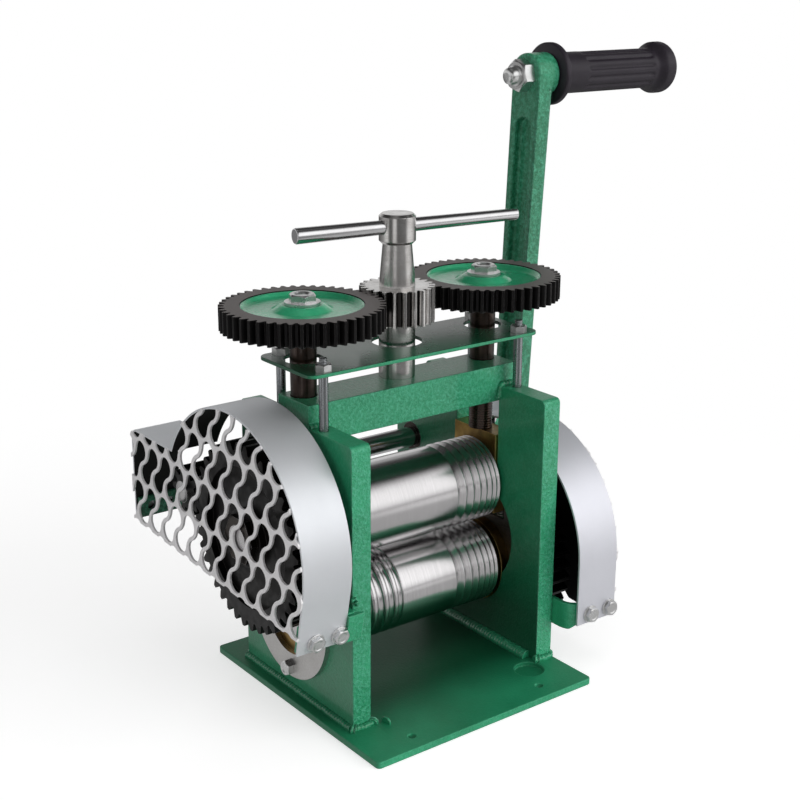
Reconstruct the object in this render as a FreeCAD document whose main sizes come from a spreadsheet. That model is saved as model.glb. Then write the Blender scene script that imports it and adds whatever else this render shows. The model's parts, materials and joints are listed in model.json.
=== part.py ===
"""Jewellers rolling mill: two geared rollers in a welded frame, with a screw-down and a crank.

Origin: the middle of the base plate's underside. +X runs along the rollers towards the crank,
+Y towards the crank shaft at the rear, +Z up. All lengths are in millimetres.
"""
import FreeCAD, Part
import Sketcher
import math
import os
import re
from FreeCAD import Placement, Rotation, Vector

# Driving dimensions, one spreadsheet cell each.
sizes = {
    # base plate
    "base_long": 150, "base_deep": 160, "base_thick": 4, "base_corner": 2.5,
    "bench_pitch_x": 90, "bench_pitch_y": 138, "bench_hole": 4.5,
    "pit_wide": 17, "pit_deep": 2.5, "pit_from_side": 21.8, "pit_from_front": 28.6,
    # side plates
    "side_thick": 12, "side_gap": 117.5, "side_high": 157.5, "side_front": 56.5, "side_back": 49,
    "side_corner": 3, "ear_reach": 15, "ear_below": 19, "ear_above": 19, "ear_corner": 7,
    "window_wide": 37, "pass_wide": 65, "pass_deep": 6, "pass_rise": 19.8,
    # cross beam
    "beam_deep": 29, "beam_high": 21.2, "beam_seat": 9,
    # rollers
    "roller_back": 10.5, "lower_rise": 45.2, "roller_wide": 49, "roller_gap": 3.5,
    "roller_end_room": 1.75, "roller_edge": 0.7, "vee_count": 7, "vee_widest": 5.6,
    "vee_narrowest": 2.2, "vee_land": 0.6, "vee_margin": 0.75, "half_count": 5, "half_widest": 8,
    "half_narrowest": 4, "half_land": 1.6, "half_margin": 7.75, "half_roundness": 0.51,
    # journals, bushes and flanges
    "upper_journal": 26, "upper_bush_wall": 3, "lower_journal": 28, "bush_web": 4,
    "gear_seat": 22, "gear_thread": 16, "gear_nut_across": 24, "gear_nut_high": 5, "thread_proud": 1.5,
    "flange_wide": 72, "flange_thick": 3, "flange_lip": 6, "flange_ring": 62, "hub_gap": 1.5,
    "small_bolt": 5, "small_across": 8, "small_head": 3.5, "small_grip": 8,
    # bearing blocks and lifting springs
    "block_below": 18, "block_above": 30.3, "block_inset": 0.3, "block_end_room": 0.3,
    "spring_room": 5.5, "spring_seat": 4.5, "spring_wide": 5.6, "spring_wire": 0.8, "spring_pitch": 27,
    # crank drive
    "gear_centres": 62.5, "left_pinion_teeth": 10, "upper_gear_teeth": 40, "right_pinion_teeth": 9,
    "idler_teeth": 15, "lower_gear_teeth": 36, "crank_rise": 7.3, "open_travel": 2.5,
    "left_gear_off": 14.5, "left_gear_wide": 15, "right_gear_off": 9, "right_gear_wide": 14,
    "gear_hub_wide": 32, "drive_web_wide": 78, "drive_web_deep": 4,
    "crank_journal": 12.5, "crank_bush_wall": 2.75, "idler_pin": 10, "idler_shoulder": 16,
    "idler_nut_across": 17, "idler_nut_high": 5,
    # tooth form shared by every gear
    "pressure_angle": 25, "tooth_above": 0.8, "tooth_below": 1.05, "tooth_play": 0.22,
    # screw-down
    "screw_wide": 14, "screw_inset": 2.5, "screw_gear_teeth": 48, "adjuster_teeth": 22,
    "screw_gear_rise": 36.5, "screw_gear_wide": 12.4, "web_wide": 64.8, "web_deep": 4.5,
    "web_hub_foot": 32, "web_hub_top": 21, "screw_neck": 12, "washer_wide": 19, "washer_thick": 1.6,
    "gear_bolt": 8, "gear_bolt_across": 13, "gear_bolt_head": 5.3, "gear_bolt_long": 10,
    "adjuster_pivot": 12, "pivot_deep": 15, "adjuster_wide": 20, "pinion_below": 5.4, "pinion_above": 1.9,
    "neck_foot": 19.8, "neck_top": 15.8, "neck_high": 23, "cap_wide": 20, "cap_high": 16.1,
    "cap_edge": 1.5, "bar_height": 9, "bar_left": 61, "bar_right": 77, "bar_left_wide": 8.5,
    "bar_right_wide": 6.5, "bar_turn": 7,
    # top plate and its studs
    "top_plate_thick": 2, "top_plate_rim": 11.5, "top_plate_lip": 5.5, "top_plate_corner": 6,
    "screw_window": 21.5, "adjuster_window": 28, "stud_stand": 17.7, "stud_inset": 7.25,
    "stud_front": 25.5, "stud_back": 14.5, "stud_wide": 5, "stud_end_wide": 4.5, "stud_end_long": 9,
    "stud_deep": 8, "stud_nut_across": 8, "stud_nut_high": 4,
    # gear covers
    "cover_sheet": 1.2, "bracket_thick": 3, "cover_corner": 6, "left_cover_stand": 5.5,
    "left_cover_room": 5, "left_cover_back": 5.4, "left_cover_air": 17.75, "left_foot_proud": 0.4,
    "left_foot_drop": 43.9, "left_box_above": 24, "left_box_back": 53.2, "left_box_below": 32.5,
    "right_cover_stand": 3.75, "right_cover_room": 10, "right_cover_front": 3.6,
    "right_cover_drop": 43.75, "right_cover_air": 23, "right_foot_rise": 28, "right_box_above": 22.7,
    "right_box_back": 27.2, "right_box_below": 39, "hub_window": 32, "bracket_high": 16,
    "bracket_bend": 10, "bracket_along": 20, "left_cheek_bolt": 14, "bracket_overhang": 3.5,
    "cover_bolt_rise": 5.5, "cover_bolt_pitch": 14.8, "cover_bolt_edge": 3.4, "left_bolt_edge": 10.5,
    "rear_bracket_drop": 31, "rear_bracket_high": 12, "rear_bracket_along": 24, "rear_bolt_edge": 8,
    "rear_bolt_pitch": 12, "bolt_proud": 2.5,
    # holes of the cover panels: two round lobes joined by a waist, in leaning rows
    "mesh_pitch": 14.7, "mesh_slope": 0.94, "mesh_row": 25.3, "mesh_shift": 4.6, "mesh_lobe": 11.9,
    "mesh_lobe_front": 5, "mesh_lobe_up": 6.35, "mesh_waist": 8.1, "mesh_rim": 1.2, "mesh_back": 34.3,
    "mesh_above": 9.6, "mesh_foot": 9.5,
    # crank arm and grip
    "arm_off": 64.4, "arm_thick": 9.5, "arm_wide": 24, "arm_long": 217, "arm_lean": 2.8,
    "arm_hub": 28, "arm_hub_long": 27.4, "arm_end": 26, "arm_boss": 7.3, "arm_channel": 14,
    "arm_channel_deep": 4, "arm_channel_gap": 24, "arm_channel_foot": 6, "crank_thread": 10,
    "crank_thread_long": 11,
    "crank_nut_across": 17, "crank_nut_high": 8, "grip_bolt": 10, "grip_nut_across": 17,
    "grip_nut_high": 8, "grip_bolt_end": 7, "grip_bolt_tip": 3.5, "grip_bolt_stub": 1,
    "grip_bolt_head": 16, "grip_head_high": 6,
    "grip_long": 101, "grip_wide": 25, "grip_flange": 37.5, "grip_flange_thick": 3.7,
    "grip_knob": 32.5, "grip_knob_long": 9.5, "grip_knob_edge": 4, "grip_knob_taper": 6,
    # clearances
    "run_room": 0.05, "fit_room": 0.04, "slide_room": 0.2, "end_room": 0.3,
}

# Places that follow from the sizes.
layout = {
    "right_out": "base_long / 2",
    "right_in": "right_out - side_thick",
    "left_in": "right_in - side_gap",
    "left_out": "left_in - side_thick",
    "mid_x": "(left_in + right_in) / 2",
    "axis_y": "roller_back",
    "lower_z": "base_thick + lower_rise",
    "upper_z": "lower_z + roller_wide + roller_gap",
    "side_top": "base_thick + side_high",
    "plate_front": "axis_y - side_front",
    "plate_back": "axis_y + side_back",
    "window_front": "axis_y - window_wide / 2",
    "window_back": "axis_y + window_wide / 2",
    "window_floor": "upper_z - block_below - spring_room",
    "beam_bottom": "side_top - beam_seat",
    "beam_top": "beam_bottom + beam_high",
    "beam_back": "window_front + beam_deep",
    "pass_z": "lower_z + pass_rise",
    "roller_left": "left_in + roller_end_room",
    "roller_right": "right_in - roller_end_room",
    "upper_bush": "upper_journal + 2 * upper_bush_wall",
    "lower_bush": "2 * (roller_wide + roller_gap - block_below - spring_room - bush_web)",
    "flange_hole": "lower_bush - flange_lip",
    "crank_bush": "crank_journal + 2 * crank_bush_wall",
    "block_top": "upper_z + block_above",
    "block_low": "upper_z - block_below",
    "block_half": "window_wide / 2 - slide_room",
    "block_left_out": "left_out + block_inset",
    "block_left_in": "roller_left - block_end_room",
    "block_right_out": "right_out - block_inset",
    "block_right_in": "roller_right + block_end_room",
    "spring_left_x": "left_out + (side_thick - pass_deep) / 2",
    "spring_right_x": "right_out - (side_thick - pass_deep) / 2",
    "drive_module": "2 * gear_centres / (round(upper_gear_teeth) + round(left_pinion_teeth))",
    "upper_pitch": "drive_module * round(upper_gear_teeth) / 2",
    "left_pinion_pitch": "drive_module * round(left_pinion_teeth) / 2",
    "right_pinion_pitch": "drive_module * round(right_pinion_teeth) / 2",
    "idler_pitch": "drive_module * round(idler_teeth) / 2",
    "lower_pitch": "drive_module * round(lower_gear_teeth) / 2",
    "crank_z": "upper_z + crank_rise",
    "crank_y": "axis_y + sqrt((upper_pitch + left_pinion_pitch)^2 - (crank_rise - open_travel)^2)",
    "crank_back": "crank_y - axis_y",
    "crank_up": "crank_z - lower_z",
    "crank_reach": "sqrt(crank_back^2 + crank_up^2)",
    "idler_to_lower": "lower_pitch + idler_pitch",
    "idler_to_crank": "right_pinion_pitch + idler_pitch",
    "idler_along": "(crank_reach^2 + idler_to_lower^2 - idler_to_crank^2) / (2 * crank_reach)",
    "idler_aside": "sqrt(idler_to_lower^2 - idler_along^2)",
    "idler_y": "axis_y + (crank_back * idler_along - crank_up * idler_aside) / crank_reach",
    "idler_z": "lower_z + (crank_up * idler_along + crank_back * idler_aside) / crank_reach",
    "left_gear_in": "left_out - left_gear_off",
    "left_gear_out": "left_gear_in - left_gear_wide",
    "right_gear_in": "right_out + right_gear_off",
    "right_gear_out": "right_gear_in + right_gear_wide",
    "hub_off": "flange_thick + hub_gap",
    "screw_half": "side_gap / 2 + screw_inset",
    "screw_module": "2 * screw_half / (round(screw_gear_teeth) + round(adjuster_teeth))",
    "screw_gear_z": "beam_top + screw_gear_rise",
    "screw_gear_top": "screw_gear_z + screw_gear_wide",
    "adjuster_low": "screw_gear_z - pinion_below",
    "adjuster_top": "screw_gear_top + pinion_above",
    "cap_low": "adjuster_top + neck_high",
    "cap_top": "cap_low + cap_high",
    "bar_z": "cap_low + bar_height",
    "top_plate_z": "beam_top + stud_stand",
    "stud_half": "side_gap / 2 + stud_inset",
    "stud_front_y": "axis_y - stud_front",
    "stud_back_y": "axis_y + stud_back",
    "left_cover_in": "left_out - left_cover_stand",
    "left_cover_out": "left_gear_out - left_cover_room",
    "left_cover_y": "axis_y + left_cover_back",
    "left_cover_r": "upper_pitch + tooth_above * drive_module + left_cover_air",
    "left_foot_y": "plate_front - left_foot_proud",
    "left_foot_z": "upper_z - left_foot_drop",
    "left_foot_reach": "sqrt((left_cover_y - left_foot_y)^2 + left_foot_drop^2)",
    "left_tilt": "(asin(left_cover_r / left_foot_reach) - acos(left_foot_drop / left_foot_reach)) / 1deg",
    "left_box_top": "crank_z + left_box_above",
    "left_box_rear": "crank_y + left_box_back",
    "left_box_floor": "crank_z - left_box_below",
    "right_cover_in": "right_out + right_cover_stand",
    "right_cover_out": "right_gear_out + right_cover_room",
    "right_cover_y": "axis_y - right_cover_front",
    "right_cover_z": "crank_z - right_cover_drop",
    "right_cover_r": "lower_pitch + tooth_above * drive_module + right_cover_air",
    "right_box_top": "crank_z + right_box_above",
    "right_box_rear": "crank_y + right_box_back",
    "right_box_floor": "crank_z - right_box_below",
    "right_foot_z": "right_foot_rise",
    "arm_in": "right_out + arm_off",
    "arm_out": "arm_in + arm_thick",
    "boss_out": "arm_out + arm_boss",
    "grip_y": "crank_y - arm_long * sin(arm_lean)",
    "grip_z": "crank_z + arm_long * cos(arm_lean)",
    "grip_in": "boss_out + end_room",
    "grip_out": "grip_in + grip_long",
}

doc = FreeCAD.newDocument("RollingMill")
sheet = doc.addObject("Spreadsheet::Sheet", "Sizes")
places = doc.addObject("App::VarSet", "Layout")
nodes = []


def bound(text):
    """The expression with every bare name looked up in the sheet or among the places."""
    def owner(match):
        word = match.group(0)
        if word in sizes:
            return "Sizes." + word
        return "Layout." + word if word in layout else word
    return re.sub(r"[a-z][a-z0-9_]*", owner, text)


def fill_sheet():
    for row, (name, size) in enumerate(sizes.items(), 1):
        sheet.set(f"A{row}", name)
        sheet.set(f"B{row}", str(size))
        sheet.setAlias(f"B{row}", name)
    doc.recompute()
    for name, text in layout.items():
        places.addProperty("App::PropertyFloat", name, "Layout")
        places.setExpression(name, bound(text))
    doc.recompute()


def value(text):
    """The number that an expression comes to."""
    result = places.evalExpression(bound(str(text)))
    return float(getattr(result, "Value", result))


def tie(thing, **expressions):
    """Bind properties to expressions; Placement parts are given as x, y, z and turn."""
    paths = {"x": "Placement.Base.x", "y": "Placement.Base.y", "z": "Placement.Base.z",
             "turn": "Placement.Rotation.Angle"}
    for name, text in expressions.items():
        thing.setExpression(paths.get(name, name), bound(str(text)))
    return thing


def node(name, thing):
    """Give a finished sub-part its name and list it for writing."""
    thing.Label = name
    nodes.append(thing)
    return thing


# Directions of the three axes, as turns of a solid that is made along +Z.
along = {"x": Rotation(Vector(1, 1, 1), 120), "y": Rotation(Vector(1, 0, 0), -90), "z": Rotation()}


def stand(thing, axis, centre, start):
    """Set a solid made along +Z on an axis through centre, starting at start."""
    thing.Placement = Placement(Vector(), along[axis])
    x, y, z = {"x": (start, *centre), "y": (centre[0], start, centre[1]), "z": (*centre, start)}[axis]
    return tie(thing, x=x, y=y, z=z)


def box(name, low, high):
    """A box between two corners."""
    solid = doc.addObject("Part::Box", name)
    spans = [f"({b}) - ({a})" for a, b in zip(low, high)]
    return tie(solid, Length=spans[0], Width=spans[1], Height=spans[2], x=low[0], y=low[1], z=low[2])


def rod(name, axis, centre, wide, start, stop):
    """A cylinder of diameter wide from start to stop along its axis."""
    solid = doc.addObject("Part::Cylinder", name)
    tie(solid, Radius=f"({wide}) / 2", Height=f"({stop}) - ({start})")
    return stand(solid, axis, centre, start)


def cone(name, axis, centre, foot, top, start, stop):
    """A cone of diameters foot and top from start to stop along its axis."""
    solid = doc.addObject("Part::Cone", name)
    tie(solid, Radius1=f"({foot}) / 2", Radius2=f"({top}) / 2", Height=f"({stop}) - ({start})")
    return stand(solid, axis, centre, start)


def hexagon(name, axis, centre, across, start, stop):
    """A hexagonal prism, across its flats, from start to stop along its axis."""
    solid = doc.addObject("Part::Prism", name)
    solid.Polygon = 6
    tie(solid, Circumradius=f"({across}) / sqrt(3)", Height=f"({stop}) - ({start})")
    return stand(solid, axis, centre, start)


def fuse(name, *things):
    joined = doc.addObject("Part::MultiFuse", name)
    joined.Shapes = list(things)
    joined.Refine = True
    return joined


def cut(name, base, *tools):
    """The base less its tools."""
    less = doc.addObject("Part::Cut", name)
    less.Base = base
    less.Tool = tools[0] if len(tools) == 1 else fuse(name + "_tools", *tools)
    return less


def group(name, *things):
    """Separate solids that share one sub-part."""
    held = doc.addObject("Part::Compound", name)
    held.Links = list(things)
    return held


def corner(before, here, after):
    """Where the arc of a rounded corner between two straight edges starts and ends."""
    x, y, bend = here
    ends = []
    for other in (before, after):
        dx, dy = (value(f"({other[k]}) - ({here[k]})") for k in (0, 1))
        far = math.hypot(dx, dy)
        ways = (round(dx / far, 9), round(dy / far, 9))
        ends.append(tuple(f"({here[k]}) + ({bend}) * {way}" for k, way in enumerate(ways)))
    return ends


def outline(sketch, points, closed=True):
    """Draw a chain of lines and arcs whose every point is bound to its expressions.

    A point is (x, y), or (x, y, bend) for a corner rounded by bend, or ("arc", x, y, bend) for an
    arc from the point before; a negative bend turns clockwise. Rounded corners join straight edges
    that follow the axes.
    """
    chain = []
    for index, point in enumerate(points):
        if point[0] == "arc":
            chain.append((point[1], point[2], point[3]))
        elif len(point) == 3:
            before, after = points[index - 1], points[(index + 1) % len(points)]
            before = before[1:3] if before[0] == "arc" else before
            start, stop = corner(before, point, after)
            ax, ay = value(f"({start[0]}) - ({before[0]})"), value(f"({start[1]}) - ({before[1]})")
            bx, by = value(f"({stop[0]}) - ({start[0]})"), value(f"({stop[1]}) - ({start[1]})")
            sign = "" if ax * by - ay * bx > 0 else "-"
            chain += [(*start, None), (*stop, sign + f"({point[2]})")]
        else:
            chain.append((point[0], point[1], None))
    spots = [Vector(value(x), value(y), 0) for x, y, _ in chain]
    pairs = list(range(len(chain) if closed else len(chain) - 1))
    ends = []
    for k in pairs:
        a, b = spots[k], spots[(k + 1) % len(chain)]
        bend = chain[(k + 1) % len(chain)][2]
        if bend is None:
            ends.append((sketch.addGeometry(Part.LineSegment(a, b)), 1, 2))
            continue
        radius = value(bend)
        across = b - a
        rise = math.sqrt(max(radius ** 2 - across.Length ** 2 / 4, 0)) * math.copysign(1, radius)
        centre = (a + b) / 2 + Vector(-across.y, across.x, 0).normalize() * rise
        first, last = (a, b) if radius > 0 else (b, a)
        angles = [math.atan2((p - centre).y, (p - centre).x) for p in (first, last)]
        circle = Part.Circle(centre, Vector(0, 0, 1), abs(radius))
        arc = sketch.addGeometry(Part.ArcOfCircle(circle, *angles))
        ends.append((arc, 1, 2) if radius > 0 else (arc, 2, 1))
        hold(sketch, Sketcher.Constraint("Radius", arc, abs(radius)), f"abs({bend})")
    for k, (geometry, start, stop) in enumerate(ends):
        if closed or k:
            last = ends[k - 1]
            sketch.addConstraint(Sketcher.Constraint("Coincident", last[0], last[2], geometry, start))
        pin_point(sketch, geometry, start, chain[k][:2], spots[k])
    if not closed:
        geometry, _, stop = ends[-1]
        pin_point(sketch, geometry, stop, chain[-1][:2], spots[-1])


def hold(sketch, constraint, text):
    index = sketch.addConstraint(constraint)
    sketch.setExpression(f"Constraints[{index}]", bound(text))


def pin_point(sketch, geometry, end, place, spot):
    hold(sketch, Sketcher.Constraint("DistanceX", -1, 1, geometry, end, spot.x), place[0])
    hold(sketch, Sketcher.Constraint("DistanceY", -1, 1, geometry, end, spot.y), place[1])


def ring(sketch, place, wide):
    """A circle of diameter wide in a sketch."""
    spot = Vector(value(place[0]), value(place[1]), 0)
    circle = sketch.addGeometry(Part.Circle(spot, Vector(0, 0, 1), value(wide) / 2))
    hold(sketch, Sketcher.Constraint("Diameter", circle, value(wide)), str(wide))
    pin_point(sketch, circle, 3, place, spot)


def body_sketch(name, plane):
    """A new body with one sketch on one of its own origin planes."""
    body = doc.addObject("PartDesign::Body", name)
    sketch = body.newObject("Sketcher::SketchObject", name + "_sketch")
    flat = next(f for f in body.Origin.OriginFeatures if f.Role == plane + "_Plane")
    sketch.AttachmentSupport = [(flat, "")]
    sketch.MapMode = "FlatFace"
    return body, sketch


def padded(name, plane, points, start, thick, rings=()):
    """A plate of the given outline, padded from start along the plane's normal."""
    body, sketch = body_sketch(name, plane)
    sketch.setExpression("AttachmentOffset.Base.z", bound(str(start)))
    outline(sketch, points)
    for place, wide in rings:
        ring(sketch, place, wide)
    pad = body.newObject("PartDesign::Pad", name + "_pad")
    pad.Profile = sketch
    tie(pad, Length=thick)
    return body


def turned(name, axis, centre, points):
    """A turned piece: points are (place along the axis, radius), closed on the axis."""
    body, sketch = body_sketch(name, "XZ")
    if axis == "z":
        points = [(p[0], p[2], p[1], p[3]) if p[0] == "arc" else (p[1], p[0]) for p in points]
    outline(sketch, points)
    spin = body.newObject("PartDesign::Revolution", name + "_turned")
    spin.Profile = sketch
    spin.ReferenceAxis = (sketch, ["H_Axis" if axis == "x" else "V_Axis"])
    spin.Angle = 360
    if axis == "x":
        return tie(body, y=centre[0], z=centre[1])
    return tie(body, x=centre[0], y=centre[1])


def strip(name, plane, points, sheet_thick, start, stop):
    """A bent sheet: an open path, thickened to its inner side and drawn out from start to stop."""
    path = doc.addObject("Sketcher::SketchObject", name + "_path")
    path.Placement = Placement(Vector(), along["x"] if plane == "YZ" else Rotation())
    tie(path, **{"x" if plane == "YZ" else "z": start})
    outline(path, points, closed=False)
    skin = doc.addObject("Part::Offset2D", name + "_skin")
    skin.Source = path
    skin.Mode = "Skin"
    skin.Join = "Intersection"
    skin.Fill = True
    tie(skin, Value=sheet_thick)
    drawn = doc.addObject("Part::Extrusion", name)
    drawn.Base = skin
    drawn.DirMode = "Custom"
    drawn.Dir = Vector(1, 0, 0) if plane == "YZ" else Vector(0, 0, 1)
    drawn.Solid = True
    return path, tie(drawn, LengthFwd=f"({stop}) - ({start})")


def involute(base, radius):
    """The angle by which an involute has turned where it reaches a radius."""
    unrolled = math.sqrt(max(radius ** 2 / base ** 2 - 1, 0))
    return unrolled - math.atan(unrolled)


def tooth_wire(module, teeth, phase):
    """The closed outline of a spur gear with a tooth centred at the angle phase."""
    pitch = module * teeth / 2
    base = pitch * math.cos(math.radians(value("pressure_angle")))
    tip, root = pitch + value("tooth_above") * module, pitch - value("tooth_below") * module
    half = math.pi / 2 / teeth - value("tooth_play") / 4 / pitch
    half_at_base = half + involute(base, pitch)
    low = max(base, root)

    def spot(radius, side, tooth, turn):
        angle = phase + 2 * math.pi * tooth / teeth + side * turn
        return Vector(radius * math.cos(angle), radius * math.sin(angle), 0)

    def turn_at(radius):
        return half_at_base - involute(base, radius)

    edges = []
    for tooth in range(teeth):
        middle = (low + tip) / 2
        rise = [spot(r, -1, tooth, turn_at(r)) for r in (low, middle, tip)]
        fall = [spot(r, 1, tooth, turn_at(r)) for r in (tip, middle, low)]
        foot = [spot(root, side, tooth, turn_at(low)) for side in (-1, 1)]
        if root < base:
            edges.append(Part.LineSegment(foot[0], rise[0]))
        edges += [Part.Arc(*rise), Part.Arc(rise[2], spot(tip, 0, tooth, 0), fall[0]), Part.Arc(*fall)]
        if root < base:
            edges.append(Part.LineSegment(fall[2], foot[1]))
        next_foot = spot(root, -1, tooth + 1, turn_at(low))
        edges.append(Part.Arc(foot[1], spot(root, 1, tooth, math.pi / teeth), next_foot))
    return Part.Wire([edge.toShape() for edge in edges])


def pinned_round(wide, start, stop):
    """A cylinder on the Z axis of a gear's own frame."""
    return Part.makeCylinder(wide / 2, stop - start, Vector(0, 0, start))


def through(wide):
    """The bore of a gear, longer than any gear on both sides."""
    reach = value("right_gear_out - left_gear_out")
    return pinned_round(value(wide), -reach, reach)


def gear(name, module, teeth, wide, phase, axis, centre, start, extras=(), removals=()):
    """A spur gear that starts at start along its axis.

    extras and removals are solids in the gear's own frame, whose +Z is the axis.
    """
    solid = Part.Face(tooth_wire(module, teeth, phase)).extrude(Vector(0, 0, wide))
    for extra in extras:
        solid = solid.fuse(extra)
    for removal in removals:
        solid = solid.cut(removal)
    thing = doc.addObject("Part::Feature", name)
    thing.Shape = solid.Solids[0]
    x, y, z = {"x": (start, *centre), "z": (*centre, start)}[axis]
    thing.Placement = Placement(Vector(value(x), value(y), value(z)), along[axis])
    return node(name, thing)


def meshed_phase(angle, phase, teeth, next_teeth):
    """The phase of a gear in mesh with another that lies behind it at the given angle."""
    passed = (angle - phase) * teeth / (2 * math.pi)
    return angle + math.pi - (0.5 - passed) * 2 * math.pi / next_teeth


def heading(from_y, from_z, to_y, to_z):
    return math.atan2(value(f"({to_z}) - ({from_z})"), value(f"({to_y}) - ({from_y})"))


# Frame

def base_plate():
    left, right = "-base_long / 2", "base_long / 2"
    front, back = "-base_deep / 2", "base_deep / 2"
    points = [(left, front, "base_corner"), (right, front, "base_corner"),
              (right, back, "base_corner"), (left, back, "base_corner")]
    holes = [((f"{i} * bench_pitch_x / 2", f"{k} * bench_pitch_y / 2"), "bench_hole")
             for i in (-1, 1) for k in (-1, 1)]
    plate = padded("base_sheet", "XY", points, 0, "base_thick", holes)
    pit = rod("base_pit", "z", (f"{right} - pit_from_side", f"{front} + pit_from_front"), "pit_wide",
              "base_thick - pit_deep", "base_thick + 1")
    node("base_plate", cut("base_plate", plate, pit))


flange_turns = {"left": (-90, 30, 150), "right": (-150, -90, -30)}


def flange_spots(side):
    """The centres of a flange's bolts."""
    return [(f"axis_y + flange_ring / 2 * cos({angle})", f"lower_z + flange_ring / 2 * sin({angle})")
            for angle in flange_turns[side]]


def bracket_spots(side):
    """Bolts that hold a cover's front and rear brackets on its side plate."""
    if side == "left":
        front = ("left_foot_y + left_cheek_bolt * cos(left_tilt) - bracket_high / 2 * sin(left_tilt)",
                 "left_foot_z + left_cheek_bolt * sin(left_tilt) + bracket_high / 2 * cos(left_tilt)")
    else:
        front = ("plate_front + bracket_along / 2",
                 "right_foot_z - bracket_overhang + bracket_high / 2")
    return [front, ("plate_back - rear_bracket_along / 2", rear_bolt_height())]


def side_plate(side):
    inner, outer = f"{side}_in", f"{side}_out"
    start = outer if side == "left" else inner
    ear_back = "crank_y + ear_reach"
    points = [
        ("plate_front", "base_thick"), ("plate_back", "base_thick"),
        ("plate_back", "crank_z - ear_below"), (ear_back, "crank_z - ear_below", "ear_corner"),
        (ear_back, "crank_z + ear_above", "ear_corner"), ("plate_back", "crank_z + ear_above"),
        ("plate_back", "side_top", "side_corner"), ("beam_back", "side_top"),
        ("beam_back", "beam_bottom"), ("window_back", "beam_bottom"),
        ("window_back", "window_floor"), ("window_front", "window_floor"),
        ("window_front", "side_top"), ("plate_front", "side_top", "side_corner"),
    ]
    bush_hole = "lower_bush + 2 * fit_room"
    holes = [(("axis_y", "lower_z"), bush_hole), (("crank_y", "crank_z"), "crank_bush + 2 * fit_room")]
    holes += [(spot, "small_bolt + 2 * fit_room") for spot in flange_spots(side) + bracket_spots(side)]
    if side == "right":
        holes.append((("idler_y", "idler_z"), "idler_pin + 2 * fit_room"))
    plate = padded(side + "_side_sheet", "YZ", points, start, "side_thick", holes)
    low, high = (f"{inner} - pass_deep", f"{inner} + 1") if side == "left" else \
                (f"{inner} - 1", f"{inner} + pass_deep")
    tools = [rod(side + "_pass", "x", ("axis_y", "pass_z"), "pass_wide", low, high)]
    for place in ("front", "back"):
        tools.append(rod(f"{side}_{place}_stud_hole", "z", (stud_x(side), f"stud_{place}_y"),
                         "stud_wide + 2 * fit_room", "side_top - stud_deep", "side_top + 1"))
    node(side + "_side_plate", cut(side + "_side_plate", plate, *tools))


def stud_x(side):
    return "mid_x - stud_half" if side == "left" else "mid_x + stud_half"


def screw_x(side):
    return "mid_x - screw_half" if side == "left" else "mid_x + screw_half"


def crossbeam():
    beam = box("beam_bar", ("left_out", "window_front", "beam_bottom"),
               ("right_out", "beam_back", "beam_top"))
    tools = [rod(side + "_screw_bore", "z", (screw_x(side), "axis_y"), "screw_wide + 2 * run_room",
                 "beam_bottom - 1", "beam_top + 1") for side in ("left", "right")]
    tools.append(rod("pivot_bore", "z", ("mid_x", "axis_y"), "adjuster_pivot + 2 * run_room",
                     "beam_top - pivot_deep", "beam_top + 1"))
    node("crossbeam", cut("crossbeam", beam, *tools))


def top_plate():
    half = "(stud_half + top_plate_rim)"
    left, right = f"mid_x - {half}", f"mid_x + {half}"
    front, back = "stud_front_y - top_plate_lip", "stud_back_y + top_plate_lip"
    points = [(x, y, "top_plate_corner") for x, y in
              ((left, front), (right, front), (right, back), (left, back))]
    holes = [((screw_x(side), "axis_y"), "screw_window") for side in ("left", "right")]
    holes.append((("mid_x", "axis_y"), "adjuster_window"))
    holes += [((stud_x(side), f"stud_{place}_y"), "stud_end_wide + 2 * fit_room")
              for side in ("left", "right") for place in ("front", "back")]
    node("top_plate", padded("top_sheet", "XY", points, "top_plate_z", "top_plate_thick", holes))


def studs():
    bars, nuts = [], []
    for side in ("left", "right"):
        for place in ("front", "back"):
            name, centre = f"{side}_{place}_stud", (stud_x(side), f"stud_{place}_y")
            bars.append(fuse(name, rod(name + "_bar", "z", centre, "stud_wide",
                                       "side_top - stud_deep", "top_plate_z"),
                             rod(name + "_end", "z", centre, "stud_end_wide", "top_plate_z",
                                 "top_plate_z + stud_end_long")))
            seat = "top_plate_z + top_plate_thick"
            nuts.append(nut(name + "_nut", "z", centre, "stud_nut_across", "stud_end_wide", seat,
                            f"{seat} + stud_nut_high"))
    node("plate_studs", group("plate_studs", *bars))
    node("plate_stud_nuts", group("plate_stud_nuts", *nuts))


def nut(name, axis, centre, across, thread, start, stop):
    """A hexagon nut around a thread."""
    bore = rod(name + "_bore", axis, centre, f"{thread} + 2 * fit_room", f"{start} - 1", f"{stop} + 1")
    return cut(name, hexagon(name + "_hex", axis, centre, across, start, stop), bore)


def bolt(name, axis, centre, wide, across, head_start, head_stop, tip):
    """A hexagon head bolt whose shank ends at tip, on either side of the head."""
    head = hexagon(name + "_head", axis, centre, across, head_start, head_stop)
    below = value(f"({tip}) - ({head_start})") < 0
    ends = (tip, head_start) if below else (head_stop, tip)
    return fuse(name, head, rod(name + "_shank", axis, centre, wide, *ends))


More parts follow.
